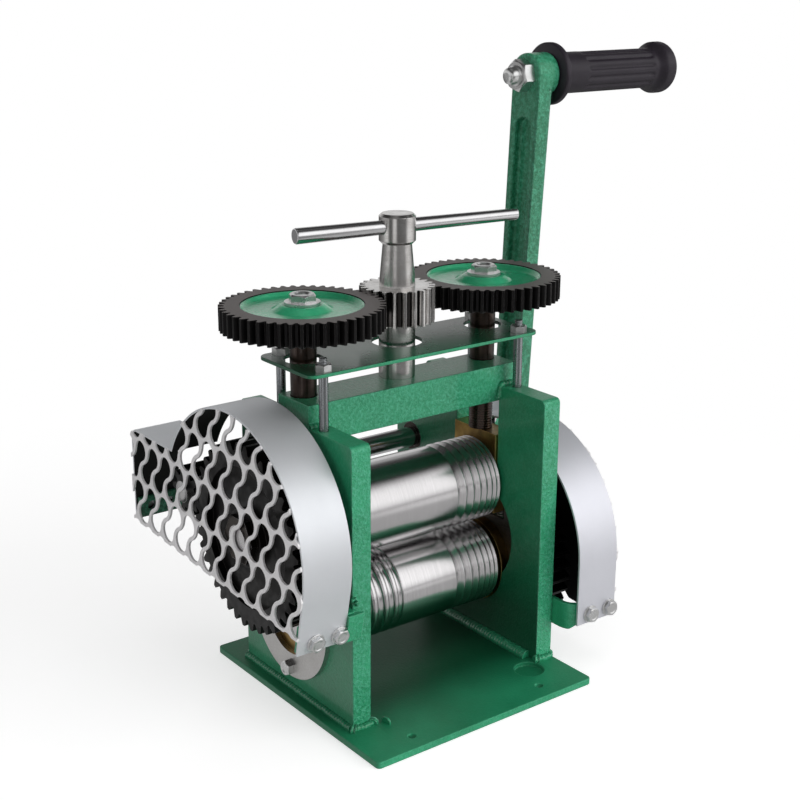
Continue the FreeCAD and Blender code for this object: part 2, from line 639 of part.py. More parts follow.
def lower_bearing(side):
    """The lower roller's bush in the plate, its flange outside and the flange's bolts."""
    inner, outer = f"{side}_in", f"{side}_out"
    sign = "-" if side == "left" else "+"
    ends = (outer, inner) if side == "left" else (inner, outer)
    centre = ("axis_y", "lower_z")
    sleeve = rod(side + "_lower_sleeve", "x", centre, "lower_bush", *ends)
    bore = rod(side + "_lower_bore", "x", centre, "lower_journal + 2 * run_room",
               f"{ends[0]} - 1", f"{ends[1]} + 1")
    node("lower_bush_" + side, cut("lower_bush_" + side, sleeve, bore))

    back = "+" if side == "left" else "-"
    face = f"{outer} {sign} flange_thick"
    faces = (face, outer) if side == "left" else (outer, face)
    disc = rod(side + "_flange_disc", "x", centre, "flange_wide", *faces)
    reach = (f"{faces[0]} - 1", f"{faces[1]} + 1")
    tools = [rod(side + "_flange_eye", "x", centre, "flange_hole", *reach)]
    bolts = []
    for index, spot in enumerate(flange_spots(side)):
        tools.append(rod(f"{side}_flange_hole_{index}", "x", spot, "small_bolt + 2 * fit_room", *reach))
        top = f"{face} {sign} small_head"
        heads = (top, face) if side == "left" else (face, top)
        bolts.append(bolt(f"{side}_flange_bolt_{index}", "x", spot, "small_bolt", "small_across",
                          *heads, f"{outer} {back} small_grip"))
    node("lower_flange_" + side, cut("lower_flange_" + side, disc, *tools))
    node("flange_bolts_" + side, group("flange_bolts_" + side, *bolts))


def crank_bush(side):
    ends = ("left_out", "left_in") if side == "left" else ("right_in", "right_out")
    centre = ("crank_y", "crank_z")
    sleeve = rod(side + "_crank_sleeve", "x", centre, "crank_bush", *ends)
    bore = rod(side + "_crank_bore", "x", centre, "crank_journal + 2 * run_room",
               f"{ends[0]} - 1", f"{ends[1]} + 1")
    node("crank_bush_" + side, cut("crank_bush_" + side, sleeve, bore))


def idler_axle():
    """The idler's pin, screwed into the right plate up to its shoulder, and the nut on its end."""
    centre = ("idler_y", "idler_z")
    nut_in = "right_gear_out + end_room"
    nut_out = f"{nut_in} + idler_nut_high"
    pin = rod("idler_bar", "x", centre, "idler_pin", "right_in + end_room", f"{nut_out} + end_room")
    collar = rod("idler_collar", "x", centre, "idler_shoulder", "right_out", "right_gear_in - end_room")
    node("idler_axle", fuse("idler_axle", pin, collar))
    node("idler_axle_nut", nut("idler_axle_nut", "x", centre, "idler_nut_across", "idler_pin",
                               nut_in, nut_out))


# Rollers and the blocks of the upper one

def groove_widths(kind):
    """The widths of a kind of groove, from the widest to the narrowest."""
    count = round(value(kind + "_count"))
    return [f"({kind}_widest + ({kind}_narrowest - {kind}_widest) * {i} / {max(count - 1, 1)})"
            for i in range(count)]


def vee_grooves():
    """V grooves that narrow towards the roller's right end, from left to right."""
    points, place = [], "roller_right - vee_margin"
    for width in reversed(groove_widths("vee")):
        left = f"{place} - {width}"
        points = [(left, "roller_wide / 2"), (f"{place} - {width} / 2", f"roller_wide / 2 - {width} / 2"),
                  (place, "roller_wide / 2")] + points
        place = f"{left} - vee_land"
    return points


def half_round_grooves():
    """Half-round grooves that narrow from the roller's left end towards its middle."""
    points, place = [], "roller_left + half_margin"
    for width in groove_widths("half"):
        right = f"{place} + {width}"
        points += [(place, "roller_wide / 2"),
                   ("arc", right, "roller_wide / 2", f"{width} * half_roundness")]
        place = f"{right} + half_land"
    return points


def roller(name, height, grooves, left_steps, right_steps):
    """A roller: journal steps are (diameter, where the step ends), outwards from the body."""
    edge = "roller_edge"
    points = [(left_steps[-1][1], "0")]
    for index in range(len(left_steps) - 1, -1, -1):
        wide, stop = left_steps[index]
        start = left_steps[index - 1][1] if index else "roller_left"
        points += [(stop, f"{wide} / 2"), (start, f"{wide} / 2")]
    points += [("roller_left", f"roller_wide / 2 - {edge}"), (f"roller_left + {edge}", "roller_wide / 2")]
    points += grooves
    points += [(f"roller_right - {edge} / 2", "roller_wide / 2"),
               ("roller_right", f"roller_wide / 2 - {edge} / 2")]
    start = "roller_right"
    for wide, stop in right_steps:
        points += [(start, f"{wide} / 2"), (stop, f"{wide} / 2")]
        start = stop
    points.append((start, "0"))
    node(name, turned(name, "x", ("axis_y", height), points))


def rollers():
    lower_right = [("lower_journal", "right_out + hub_off"), ("gear_seat", "right_gear_out"),
                   ("gear_thread", "right_gear_out + gear_nut_high + thread_proud")]
    roller("lower_roller", "lower_z", half_round_grooves() + vee_grooves(),
           [("lower_journal", "left_out")], lower_right)
    upper_left = [("upper_journal", "block_left_out"), ("gear_seat", "left_gear_out"),
                  ("gear_thread", "left_gear_out - left_cover_room + end_room * 2")]
    roller("upper_roller", "upper_z", vee_grooves(), upper_left, [("upper_journal", "block_right_out")])


def upper_bearing(side):
    """A brass block that slides in a plate's window, and the bush inside it."""
    ends = ("block_left_out", "block_left_in") if side == "left" else ("block_right_in", "block_right_out")
    reach = (f"{ends[0]} - 1", f"{ends[1]} + 1")
    centre = ("axis_y", "upper_z")
    blank = box(side + "_block_blank", (ends[0], "axis_y - block_half", "block_low"),
                (ends[1], "axis_y + block_half", "block_top"))
    tools = [rod(side + "_block_bore", "x", centre, "upper_bush + 2 * run_room", *reach)]
    for index, sign in enumerate("-+"):
        spot = (f"spring_{side}_x", f"axis_y {sign} spring_pitch / 2")
        tools.append(rod(f"{side}_spring_pocket_{index}", "z", spot, "spring_wide + 2 * slide_room",
                         "block_low - 1", "block_low + spring_seat"))
    node("upper_block_" + side, cut("upper_block_" + side, blank, *tools))
    sleeve = rod(side + "_upper_sleeve", "x", centre, "upper_bush", *ends)
    bore = rod(side + "_upper_bore", "x", centre, "upper_journal + 2 * run_room", *reach)
    node("upper_bush_" + side, cut("upper_bush_" + side, sleeve, bore))


def block_springs(side):
    """The two lifting springs under a block, as the tubes that their coils fill."""
    tubes = []
    for index, sign in enumerate("-+"):
        spot = (f"spring_{side}_x", f"axis_y {sign} spring_pitch / 2")
        ends = ("window_floor", "block_low + spring_seat")
        coil = rod(f"{side}_coil_{index}", "z", spot, "spring_wide", *ends)
        hollow = rod(f"{side}_hollow_{index}", "z", spot, "spring_wide - 2 * spring_wire",
                     f"{ends[0]} - 1", f"{ends[1]} + 1")
        tubes.append(cut(f"{side}_spring_{index}", coil, hollow))
    node("block_springs_" + side, group("block_springs_" + side, *tubes))


# Crank drive

def drive_gear(name, teeth, wide, phase, centre, start, hub_low, hub_high, bore, web):
    """A gear on a shaft along X with a hub, and a dished web on its outer face."""
    hub = pinned_round(value("gear_hub_wide"), value(hub_low), value(hub_high))
    removals = []
    if web:
        low, high = web
        disc = pinned_round(value("drive_web_wide"), low, high)
        removals.append(disc.cut(pinned_round(value("gear_hub_wide"), low - 1, high + 1)))
    removals.append(through(bore))
    gear(name, value("drive_module"), teeth, value(wide), phase, "x", centre, start, [hub], removals)


def crank_train():
    """Both pinions, the idler and the two roller gears, in mesh with the upper roller at rest."""
    teeth = {name: round(value(name + "_teeth")) for name in
             ("left_pinion", "upper_gear", "right_pinion", "idler", "lower_gear")}
    crank, upper = ("crank_y", "crank_z"), ("axis_y", "upper_z")
    idler, lower = ("idler_y", "idler_z"), ("axis_y", "lower_z")
    module = value("drive_module")
    shaft_bore = through("crank_journal + 2 * fit_room")

    left_phase = 0
    gear("left_crank_pinion", module, teeth["left_pinion"], value("left_gear_wide"), left_phase, "x",
         crank, "left_gear_out", removals=[shaft_bore])
    upper_phase = meshed_phase(heading(*crank, *upper), left_phase, teeth["left_pinion"],
                               teeth["upper_gear"])
    deep = value("drive_web_deep")
    drive_gear("upper_roller_gear", teeth["upper_gear"], "left_gear_wide", upper_phase, upper,
               "left_gear_out", "0", "left_gear_wide + left_gear_off - hub_off",
               "gear_seat + 2 * fit_room", (-1, deep))

    right_phase = 0
    gear("right_crank_pinion", module, teeth["right_pinion"], value("right_gear_wide"), right_phase, "x",
         crank, "right_gear_in", removals=[shaft_bore])
    idler_phase = meshed_phase(heading(*crank, *idler), right_phase, teeth["right_pinion"],
                               teeth["idler"])
    gear("idler_gear", module, teeth["idler"], value("right_gear_wide"), idler_phase, "x", idler,
         "right_gear_in", removals=[through("idler_pin + 2 * run_room")])
    lower_phase = meshed_phase(heading(*idler, *lower), idler_phase, teeth["idler"],
                               teeth["lower_gear"])
    wide = value("right_gear_wide")
    drive_gear("lower_roller_gear", teeth["lower_gear"], "right_gear_wide", lower_phase, lower,
               "right_gear_in", "hub_off - right_gear_off", "right_gear_wide",
               "gear_seat + 2 * fit_room", (wide - deep, wide + 1))


def gear_nuts():
    node("upper_gear_nut", nut("upper_gear_nut", "x", ("axis_y", "upper_z"), "gear_nut_across",
                               "gear_thread", "left_gear_out - left_cover_room + end_room * 4",
                               "left_gear_out"))
    node("lower_gear_nut", nut("lower_gear_nut", "x", ("axis_y", "lower_z"), "gear_nut_across",
                               "gear_thread", "right_gear_out", "right_gear_out + gear_nut_high"))


def crank_shaft():
    centre = ("crank_y", "crank_z")
    left_end = "left_gear_out - left_cover_room / 2"
    journal = rod("crank_bar", "x", centre, "crank_journal", left_end, "arm_out")
    thread = rod("crank_stub", "x", centre, "crank_thread", "arm_out", "arm_out + crank_thread_long")
    node("crank_shaft", fuse("crank_shaft", journal, thread))
    node("crank_nut", nut("crank_nut", "x", centre, "crank_nut_across", "crank_thread", "arm_out",
                          "arm_out + crank_nut_high"))


def crank_arm():
    """The arm, built upright about the shaft's axis and then leaned."""
    shaft, end = ("0", "0"), ("0", "arm_long")
    blade = box("arm_blade", ("arm_in", "-arm_wide / 2", "0"), ("arm_out", "arm_wide / 2", "arm_long"))
    foot = rod("arm_foot", "x", shaft, "arm_hub", "arm_in - arm_hub_long", "arm_out")
    head = rod("arm_head", "x", end, "arm_end", "arm_in", "boss_out")
    whole = fuse("arm_whole", blade, foot, head)
    half = "arm_channel / 2"
    low, high = "arm_hub / 2 + arm_channel_foot", "arm_long - arm_channel_gap"
    reach = ("arm_in - 1", "arm_in + arm_channel_deep")
    channel = fuse("arm_channel_form",
                   box("channel_run", (reach[0], f"-{half}", low), (reach[1], half, high)),
                   rod("channel_low", "x", ("0", low), "arm_channel", *reach),
                   rod("channel_high", "x", ("0", high), "arm_channel", *reach))
    bore = rod("arm_bore", "x", shaft, "crank_journal + 2 * fit_room", "arm_in - arm_hub_long - 1",
               "arm_out + 1")
    eye = rod("arm_eye", "x", end, "grip_bolt + 2 * fit_room", "arm_in - 1", "boss_out + 1")
    arm = cut("crank_arm", whole, channel, bore, eye)
    arm.Placement = Placement(Vector(), Rotation(Vector(1, 0, 0), 1))
    node("crank_arm", tie(arm, y="crank_y", z="crank_z", turn="arm_lean"))


def grip():
    """The grip's bolt and nut, and the rubber grip that spins on the bolt."""
    centre = ("grip_y", "grip_z")
    stub = "arm_in - grip_nut_high - grip_bolt_stub"
    head_in = "grip_out - grip_head_high - end_room * 2"
    shank = rod("grip_shank", "x", centre, "grip_bolt", stub, head_in)
    point = cone("grip_point", "x", centre, "grip_bolt_tip", "grip_bolt",
                 "arm_in - grip_nut_high - grip_bolt_end", stub)
    head = rod("grip_head", "x", centre, "grip_bolt_head", head_in, f"{head_in} + grip_head_high")
    node("grip_bolt", fuse("grip_bolt", shank, point, head))
    node("grip_nut", nut("grip_nut", "x", centre, "grip_nut_across", "grip_bolt",
                         "arm_in - grip_nut_high", "arm_in"))
    knob_in = "grip_out - grip_knob_long"
    points = [
        ("grip_in", "0"), ("grip_in", "grip_flange / 2"),
        ("grip_in + grip_flange_thick", "grip_flange / 2"),
        ("grip_in + grip_flange_thick", "grip_wide / 2"),
        (f"{knob_in} - grip_knob_taper", "grip_wide / 2"),
        (knob_in, "grip_knob / 2"), ("grip_out - grip_knob_edge", "grip_knob / 2"),
        ("grip_out", "grip_knob / 2 - grip_knob_edge"), ("grip_out", "0"),
    ]
    rubber = turned("grip_rubber", "x", centre, points)
    bore = rod("grip_bore", "x", centre, "grip_bolt + 2 * run_room", "grip_in - 1", "grip_out + 1")
    seat = rod("grip_head_seat", "x", centre, "grip_bolt_head + 2 * end_room",
               f"{head_in} - end_room", "grip_out + 1")
    node("crank_grip", cut("crank_grip", rubber, bore, seat))


# Screw-down

def screw(side):
    """A screw with a necked end that carries its gear, washer and bolt."""
    centre = (screw_x(side), "axis_y")
    foot = "block_top + run_room"
    end = "screw_gear_top - end_room"
    bar = rod(side + "_screw_bar", "z", centre, "screw_wide", foot, "screw_gear_z")
    neck = rod(side + "_screw_end", "z", centre, "screw_neck", "screw_gear_z", end)
    tap = rod(side + "_screw_tap", "z", centre, "gear_bolt + 2 * fit_room",
              "screw_gear_top - gear_bolt_long - 1", "screw_gear_top + 1")
    node(side + "_screw", cut(side + "_screw", fuse(side + "_screw_whole", bar, neck), tap))

    washer_top = "screw_gear_top + washer_thick"
    disc = rod(side + "_washer_disc", "z", centre, "washer_wide", "screw_gear_top", washer_top)
    eye = rod(side + "_washer_eye", "z", centre, "gear_bolt + 2 * fit_room", "screw_gear_top - 1",
              f"{washer_top} + 1")
    node(side + "_gear_washer", cut(side + "_gear_washer", disc, eye))
    node(side + "_gear_bolt", bolt(side + "_gear_bolt", "z", centre, "gear_bolt", "gear_bolt_across",
                                   washer_top, f"{washer_top} + gear_bolt_head",
                                   "screw_gear_top - gear_bolt_long"))


def screw_gears():
    """The adjuster's pinion phase is zero, and a gear stands in mesh on each side of it."""
    module = value("screw_module")
    count, pinion = round(value("screw_gear_teeth")), round(value("adjuster_teeth"))
    wide, deep = value("screw_gear_wide"), value("web_deep")
    hub = Part.makeCone(value("web_hub_foot / 2"), value("web_hub_top / 2"), deep,
                        Vector(0, 0, wide - deep))
    dish = pinned_round(value("web_wide"), wide - deep, wide + 1)
    bore = pinned_round(value("screw_neck + 2 * fit_room"), -1, wide + 1)
    for side, angle in (("left", math.pi), ("right", 0)):
        phase = meshed_phase(angle, 0, pinion, count)
        gear(side + "_screw_gear", module, count, wide, phase, "z", (screw_x(side), "axis_y"),
             "screw_gear_z", removals=[dish.cut(hub), bore])


def adjuster():
    """The adjuster shaft: pivot, shaft, pinion, tapered neck and cap in one piece, and its bar."""
    wide = value("screw_gear_wide + pinion_below + pinion_above")
    low = value("adjuster_low")

    def step(foot, top, start, stop):
        foot, top, start, stop = (value(text) for text in (foot, top, start, stop))
        if foot == top:
            return pinned_round(foot, start - low, stop - low)
        return Part.makeCone(foot / 2, top / 2, stop - start, Vector(0, 0, start - low))

    edge = "cap_wide - 2 * cap_edge"
    extras = [
        step("adjuster_pivot", "adjuster_pivot", "beam_top - pivot_deep + run_room", "beam_top + run_room"),
        step("adjuster_wide", "adjuster_wide", "beam_top + run_room", "adjuster_low"),
        step("neck_foot", "neck_top", "adjuster_top", "cap_low"),
        step(edge, "cap_wide", "cap_low", "cap_low + cap_edge"),
        step("cap_wide", "cap_wide", "cap_low + cap_edge", "cap_top - cap_edge"),
        step("cap_wide", edge, "cap_top - cap_edge", "cap_top"),
    ]
    hole = Part.makeCone(*bar_radii(value("fit_room")), value("bar_left + bar_right"),
                         Vector(-value("bar_left"), 0, value("bar_z") - low), Vector(1, 0, 0))
    hole.rotate(Vector(), Vector(0, 0, 1), -value("bar_turn"))
    gear("adjuster_shaft", value("screw_module"), round(value("adjuster_teeth")), wide, 0, "z",
         ("mid_x", "axis_y"), "adjuster_low", extras, [hole])

    bar = doc.addObject("Part::Cone", "adjuster_bar")
    tie(bar, Radius1="bar_left_wide / 2", Radius2="bar_right_wide / 2", Height="bar_left + bar_right")
    turn = Rotation(Vector(0, 0, 1), -value("bar_turn"))
    bar.Placement = Placement(Vector(), turn * Rotation(Vector(0, 1, 0), 90))
    node("adjuster_bar", tie(bar, x="mid_x - bar_left * cos(bar_turn)",
                             y="axis_y + bar_left * sin(bar_turn)", z="bar_z"))


def bar_radii(room):
    return value("bar_left_wide / 2") + room, value("bar_right_wide / 2") + room


# Gear covers

def left_path():
    """The left band's outer line from its front foot over the arc to the rear of its box."""
    touch_y = "left_cover_y - left_cover_r * cos(left_tilt)"
    touch_z = "upper_z - left_cover_r * sin(left_tilt)"
    meet_y = "left_cover_y + sqrt(left_cover_r^2 - (left_box_top - upper_z)^2)"
    return [("left_foot_y", "left_foot_z"), (touch_y, touch_z),
            ("arc", meet_y, "left_box_top", "-left_cover_r"),
            ("left_box_rear", "left_box_top", "cover_corner"), ("left_box_rear", "left_box_floor")]


def right_path():
    """The right band's outer line, upright at the front."""
    front = "right_cover_y - right_cover_r"
    meet_y = "right_cover_y + sqrt(right_cover_r^2 - (right_box_top - right_cover_z)^2)"
    return [(front, "right_foot_z"), (front, "right_cover_z"),
            ("arc", meet_y, "right_box_top", "-right_cover_r"),
            ("right_box_rear", "right_box_top", "cover_corner"), ("right_box_rear", "right_box_floor")]


def lying(solid, base_y, base_z, tilt):
    """Lean a solid that was made upright at the origin, and move it to its place."""
    solid.Placement = Placement(Vector(), Rotation(Vector(1, 0, 0), 1))
    return tie(solid, y=base_y, z=base_z, turn=tilt)


def foot_frame(side):
    """Where a cover's front foot stands, and how far it leans."""
    if side == "left":
        return "left_foot_y", "left_foot_z", "left_tilt"
    return "right_cover_y - right_cover_r", "right_foot_z", "0"


def foot_bolt_places(side):
    """Where along X the two bolts of a cover's front foot stand."""
    if side == "left":
        first = "left_cover_out + left_bolt_edge"
        return [first, f"{first} + cover_bolt_pitch"]
    first = "right_cover_out - cover_bolt_edge"
    return [first, f"{first} - cover_bolt_pitch"]


def rear_bolt_places(side):
    sign = "-" if side == "left" else "+"
    first = f"{side}_cover_in {sign} rear_bolt_edge"
    return [first, f"{first} {sign} rear_bolt_pitch"]


def rear_bolt_height():
    return "crank_z - rear_bracket_drop + rear_bracket_high / 2"


def foot_bores(name, side, low, high):
    """The foot's bolt holes, upright at the origin and square to the front face."""
    return [rod(f"{name}_foot_bore_{k}", "y", (x, "cover_bolt_rise"), "small_bolt + 2 * fit_room",
                low, high) for k, x in enumerate(foot_bolt_places(side))]


def foot_holes(name, side, low, high):
    """The foot's bolt holes where they stand in the cover."""
    return lying(group(name, *foot_bores(name, side, low, high)), *foot_frame(side))


def cover_band(side):
    start, stop = ("left_cover_out", "left_cover_in") if side == "left" else \
                  ("right_cover_in", "right_cover_out")
    path, band = strip(side + "_band_sheet", "YZ", left_path() if side == "left" else right_path(),
                       "cover_sheet", start, stop)
    rear = f"{side}_box_rear"
    tools = [foot_holes(side + "_band_foot_holes", side, "-1", "cover_sheet + 1")]
    tools += [rod(f"{side}_band_rear_hole_{k}", "y", (x, rear_bolt_height()),
                  "small_bolt + 2 * fit_room", f"{rear} - cover_sheet - 1", f"{rear} + 1")
              for k, x in enumerate(rear_bolt_places(side))]
    node(side + "_cover_band", cut(side + "_cover_band", band, *tools))
    return path


def peanut(start, centre, step):
    """The outline of one hole: two round lobes, a step each way from its centre, and a waist."""
    lobe, waist, far = value("mesh_lobe / 2"), value("mesh_waist / 2"), step.Length
    hollow = (far ** 2 + waist ** 2 - lobe ** 2) / (2 * (lobe - waist))
    ahead = Vector(step).normalize()
    aside = Vector(0, -ahead.z, ahead.y)

    def seam(end, side):
        """Where a lobe runs into the waist."""
        return ahead * (end * far * hollow / (lobe + hollow)) + \
            aside * (side * (waist + hollow) * lobe / (lobe + hollow))

    turns = [(seam(1, -1), ahead * (far + lobe), seam(1, 1)), (seam(1, 1), aside * waist, seam(-1, 1)),
             (seam(-1, 1), ahead * -(far + lobe), seam(-1, -1)),
             (seam(-1, -1), aside * -waist, seam(1, -1))]
    place = Vector(start, 0, 0) + centre
    return Part.Wire([Part.Arc(*(place + point for point in turn)).toShape() for turn in turns])


def cover_mesh(side, path):
    """A flat panel of the band's outline, pierced by leaning rows of peanut-shaped holes."""
    edges = path.Shape.Edges
    foot, bend = (vertex.Point for vertex in edges[0].Vertexes)
    heel = foot + (bend - foot).normalize() * value("mesh_foot")
    last = path.Shape.Vertexes[-1].Point
    border = Part.Wire([Part.makeLine(heel, bend)] + edges[1:] + [Part.makeLine(last, heel)])
    start, thick = value(f"{side}_cover_out"), value("cover_sheet")
    border.translate(Vector(start - border.BoundBox.XMin, 0, 0))
    blank = Part.Face(border)
    hub = Vector(0, value("crank_y"), value("crank_z"))
    lobe, rim, window = value("mesh_lobe / 2"), value("mesh_rim"), value("hub_window / 2")

    def clear(spot):
        if side == "right" and (spot - hub).Length < window + lobe + rim:
            return False
        there = Vector(start, spot.y, spot.z)
        return blank.isInside(there, 1e-4, True) and border.distToShape(Part.Vertex(there))[0] > lobe + rim

    middle = Vector(0, value("axis_y + mesh_back"), value("upper_z + mesh_above"))
    step = Vector(0, -value("mesh_lobe_front"), value("mesh_lobe_up"))
    along_row = Vector(0, -value("mesh_pitch"), -value("mesh_slope"))
    next_row = Vector(0, value("mesh_shift"), -value("mesh_row"))
    wires = []
    reach = int(border.BoundBox.DiagonalLength / value("mesh_pitch")) + 1
    for row in range(-reach, reach + 1):
        for column in range(-reach, reach + 1):
            centre = middle + along_row * column + next_row * row
            lobes = [spot for spot in (centre + step, centre - step) if clear(spot)]
            if len(lobes) == 2:
                wires.append(peanut(start, centre, step))
            elif lobes:
                spot = Vector(start, 0, 0) + lobes[0]
                wires.append(Part.Wire(Part.makeCircle(lobe, spot, Vector(1, 0, 0))))
    if side == "right":
        wires.append(Part.Wire(Part.makeCircle(window, Vector(start, 0, 0) + hub, Vector(1, 0, 0))))
    face = Part.Face([border] + wires)
    face.validate()
    sign = -1 if side == "left" else 1
    panel = doc.addObject("Part::Feature", side + "_cover_mesh")
    panel.Shape = face.extrude(Vector(sign * thick, 0, 0))
    node(side + "_cover_mesh", panel)


def left_bracket():
    """A leaning leg behind the band's foot and a second leg on the side plate."""
    leg = box("left_bracket_leg", ("left_cover_out + end_room * 3", "cover_sheet", "0"),
              ("left_out", "cover_sheet + bracket_thick", "bracket_high"))
    cheek = box("left_bracket_cheek", ("left_out - bracket_thick", "cover_sheet", "0"),
                ("left_out", "bracket_along", "bracket_high"))
    tools = foot_bores("left_bracket", "left", "0", "cover_sheet + bracket_thick + 1")
    tools.append(rod("left_cheek_hole", "x", ("left_cheek_bolt", "bracket_high / 2"),
                     "small_bolt + 2 * fit_room", "left_out - bracket_thick - 1", "left_out + 1"))
    angle = cut("left_cover_bracket", fuse("left_bracket_whole", leg, cheek), *tools)
    node("left_cover_bracket", lying(angle, *foot_frame("left")))


def right_bracket():
    """A bent strip from the side plate's face round to the back of the band's foot."""
    face = "right_cover_y - right_cover_r + cover_sheet"
    low, high = "right_foot_z - bracket_overhang", "right_foot_z - bracket_overhang + bracket_high"
    points = [("right_cover_out - end_room * 3", face),
              ("right_out + bracket_bend", face),
              ("arc", "right_out", f"{face} + bracket_bend", "-bracket_bend"),
              ("right_out", "plate_front + bracket_along")]
    _, bent = strip("right_bracket_sheet", "XY", points, "bracket_thick", low, high)
    tools = [foot_holes("right_bracket_holes", "right", "0", "cover_sheet + bracket_thick + 2"),
             rod("right_cheek_hole", "x", bracket_spots("right")[0], "small_bolt + 2 * fit_room",
                 "right_out - 1", "right_out + bracket_thick + 1")]
    node("right_cover_bracket", cut("right_cover_bracket", bent, *tools))


def rear_bracket(side):
    """A bent strip from the side plate's ear back to the rear wall of the cover's box."""
    wall, rear = f"{side}_out", f"{side}_box_rear - cover_sheet"
    low = "crank_z - rear_bracket_drop"
    if side == "left":
        reach, bend_x, turn = "left_cover_out + end_room * 3", "left_out - bracket_bend", "bracket_bend"
        thick = "-bracket_thick"
    else:
        reach, bend_x, turn = "right_cover_out - end_room * 3", "right_out + bracket_bend", "-bracket_bend"
        thick = "bracket_thick"
    points = [(wall, "plate_back - rear_bracket_along"), (wall, f"{rear} - bracket_bend"),
              ("arc", bend_x, rear, turn), (reach, rear)]
    _, bent = strip(f"{side}_rear_sheet", "XY", points, thick, low, f"{low} + rear_bracket_high")
    cheek = (f"{wall} - bracket_thick - 1", f"{wall} + 1") if side == "left" else \
            (f"{wall} - 1", f"{wall} + bracket_thick + 1")
    tools = [rod(f"{side}_rear_cheek_hole", "x", bracket_spots(side)[1],
                 "small_bolt + 2 * fit_room", *cheek)]
    tools += [rod(f"{side}_rear_leg_hole_{k}", "y", (x, rear_bolt_height()),
                  "small_bolt + 2 * fit_room", f"{rear} - bracket_thick - 1", f"{rear} + 1")
              for k, x in enumerate(rear_bolt_places(side))]
    node(f"{side}_cover_rear_bracket", cut(f"{side}_cover_rear_bracket", bent, *tools))


def cover_bolts(side):
    """Two bolts through the front foot, two through the rear wall and one in each bracket's cheek."""
    grip_long = "cover_sheet + bracket_thick + bolt_proud"
    feet = [bolt(f"{side}_foot_bolt_{k}", "y", (x, "cover_bolt_rise"), "small_bolt", "small_across",
                 "-small_head", "0", grip_long) for k, x in enumerate(foot_bolt_places(side))]
    front = lying(group(side + "_foot_bolts", *feet), *foot_frame(side))
    rear = f"{side}_box_rear"
    backs = [bolt(f"{side}_rear_bolt_{k}", "y", (x, rear_bolt_height()), "small_bolt", "small_across",
                  rear, f"{rear} + small_head", f"{rear} - ({grip_long})")
             for k, x in enumerate(rear_bolt_places(side))]
    cheeks = []
    for k, spot in enumerate(bracket_spots(side)):
        if side == "left":
            face = "left_out - bracket_thick"
            ends = (f"{face} - small_head", face, "left_out + small_grip")
        else:
            face = "right_out + bracket_thick"
            ends = (face, f"{face} + small_head", "right_out - small_grip")
        cheeks.append(bolt(f"{side}_cheek_bolt_{k}", "x", spot, "small_bolt", "small_across", *ends))
    node(side + "_cover_bolts", group(side + "_cover_bolts", front, *backs, *cheeks))


def build():
    fill_sheet()
    base_plate()
    crossbeam()
    top_plate()
    studs()
    idler_axle()
    rollers()
    crank_train()
    gear_nuts()
    crank_shaft()
    crank_arm()
    grip()
    screw_gears()
    adjuster()
    for side in ("left", "right"):
        side_plate(side)
        lower_bearing(side)
        crank_bush(side)
        upper_bearing(side)
        block_springs(side)
        screw(side)
        path = cover_band(side)
        doc.recompute()
        cover_mesh(side, path)
        rear_bracket(side)
        cover_bolts(side)
    left_bracket()
    right_bracket()
    doc.recompute()


def check():
    """Stop before anything is written if an object failed or a sub-part isn't a valid solid."""
    failed = [thing.Name for thing in doc.Objects if {"Invalid", "Error"} & set(thing.State)]
    bad = [thing.Label for thing in nodes
           if thing.Shape.isNull() or not thing.Shape.isValid() or not thing.Shape.Solids]
    if failed or bad:
        raise RuntimeError(f"failed objects {failed}, invalid sub-parts {bad}")


def write():
    os.makedirs("parts", exist_ok=True)
    for thing in nodes:
        thing.Shape.exportStep(f"parts/{thing.Label}.step")
    print(len(nodes), "sub-parts")


build()
check()
write()
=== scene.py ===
import json
import math
import bpy
import bmesh
from mathutils import Matrix, Vector

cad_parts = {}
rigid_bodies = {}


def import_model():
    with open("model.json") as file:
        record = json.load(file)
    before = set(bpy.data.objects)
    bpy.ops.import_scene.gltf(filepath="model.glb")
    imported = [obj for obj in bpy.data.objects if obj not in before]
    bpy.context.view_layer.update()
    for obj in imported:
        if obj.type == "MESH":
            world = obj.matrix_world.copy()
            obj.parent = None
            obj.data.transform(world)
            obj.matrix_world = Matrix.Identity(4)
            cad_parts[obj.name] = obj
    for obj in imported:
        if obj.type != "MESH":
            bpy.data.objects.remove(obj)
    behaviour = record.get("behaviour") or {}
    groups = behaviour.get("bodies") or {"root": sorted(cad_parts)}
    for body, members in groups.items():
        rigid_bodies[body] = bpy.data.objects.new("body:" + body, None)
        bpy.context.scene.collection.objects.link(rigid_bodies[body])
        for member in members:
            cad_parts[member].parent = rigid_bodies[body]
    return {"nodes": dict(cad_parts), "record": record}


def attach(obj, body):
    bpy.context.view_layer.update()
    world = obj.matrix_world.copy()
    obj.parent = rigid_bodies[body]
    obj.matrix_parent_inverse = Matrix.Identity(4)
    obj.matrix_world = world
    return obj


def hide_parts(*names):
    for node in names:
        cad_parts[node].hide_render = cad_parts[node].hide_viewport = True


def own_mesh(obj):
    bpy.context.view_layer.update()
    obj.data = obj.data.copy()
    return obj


for leftover in list(bpy.data.objects):
    bpy.data.objects.remove(leftover)
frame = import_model()
bpy.context.view_layer.update()
scene = bpy.context.scene
nodes = frame["nodes"]
bodyOf = {node: body for body, held in frame["record"]["behaviour"]["bodies"].items() for node in held}
mm = 0.001
sides = ("left", "right")
along = {"x": (1, 0, 0), "y": (0, 1, 0), "z": (0, 0, 1)}
# axes that several pieces share, in millimetres: along X as (y, z), and along Z as (x, y)
crankAxis, gripAxis, idlerAxis = (72.815, 109.0), (62.215, 325.741), (43.253, 103.893)
rollerAxis, upperAxis = (10.5, 49.2), (10.5, 101.7)
screwAxes = {"left": (-57.0, 10.5), "right": (65.5, 10.5)}
print("frame loaded:", len(nodes), "nodes")


# node helpers: they add to the tree on the desk, and an input is a value or another node's output

desk = {}


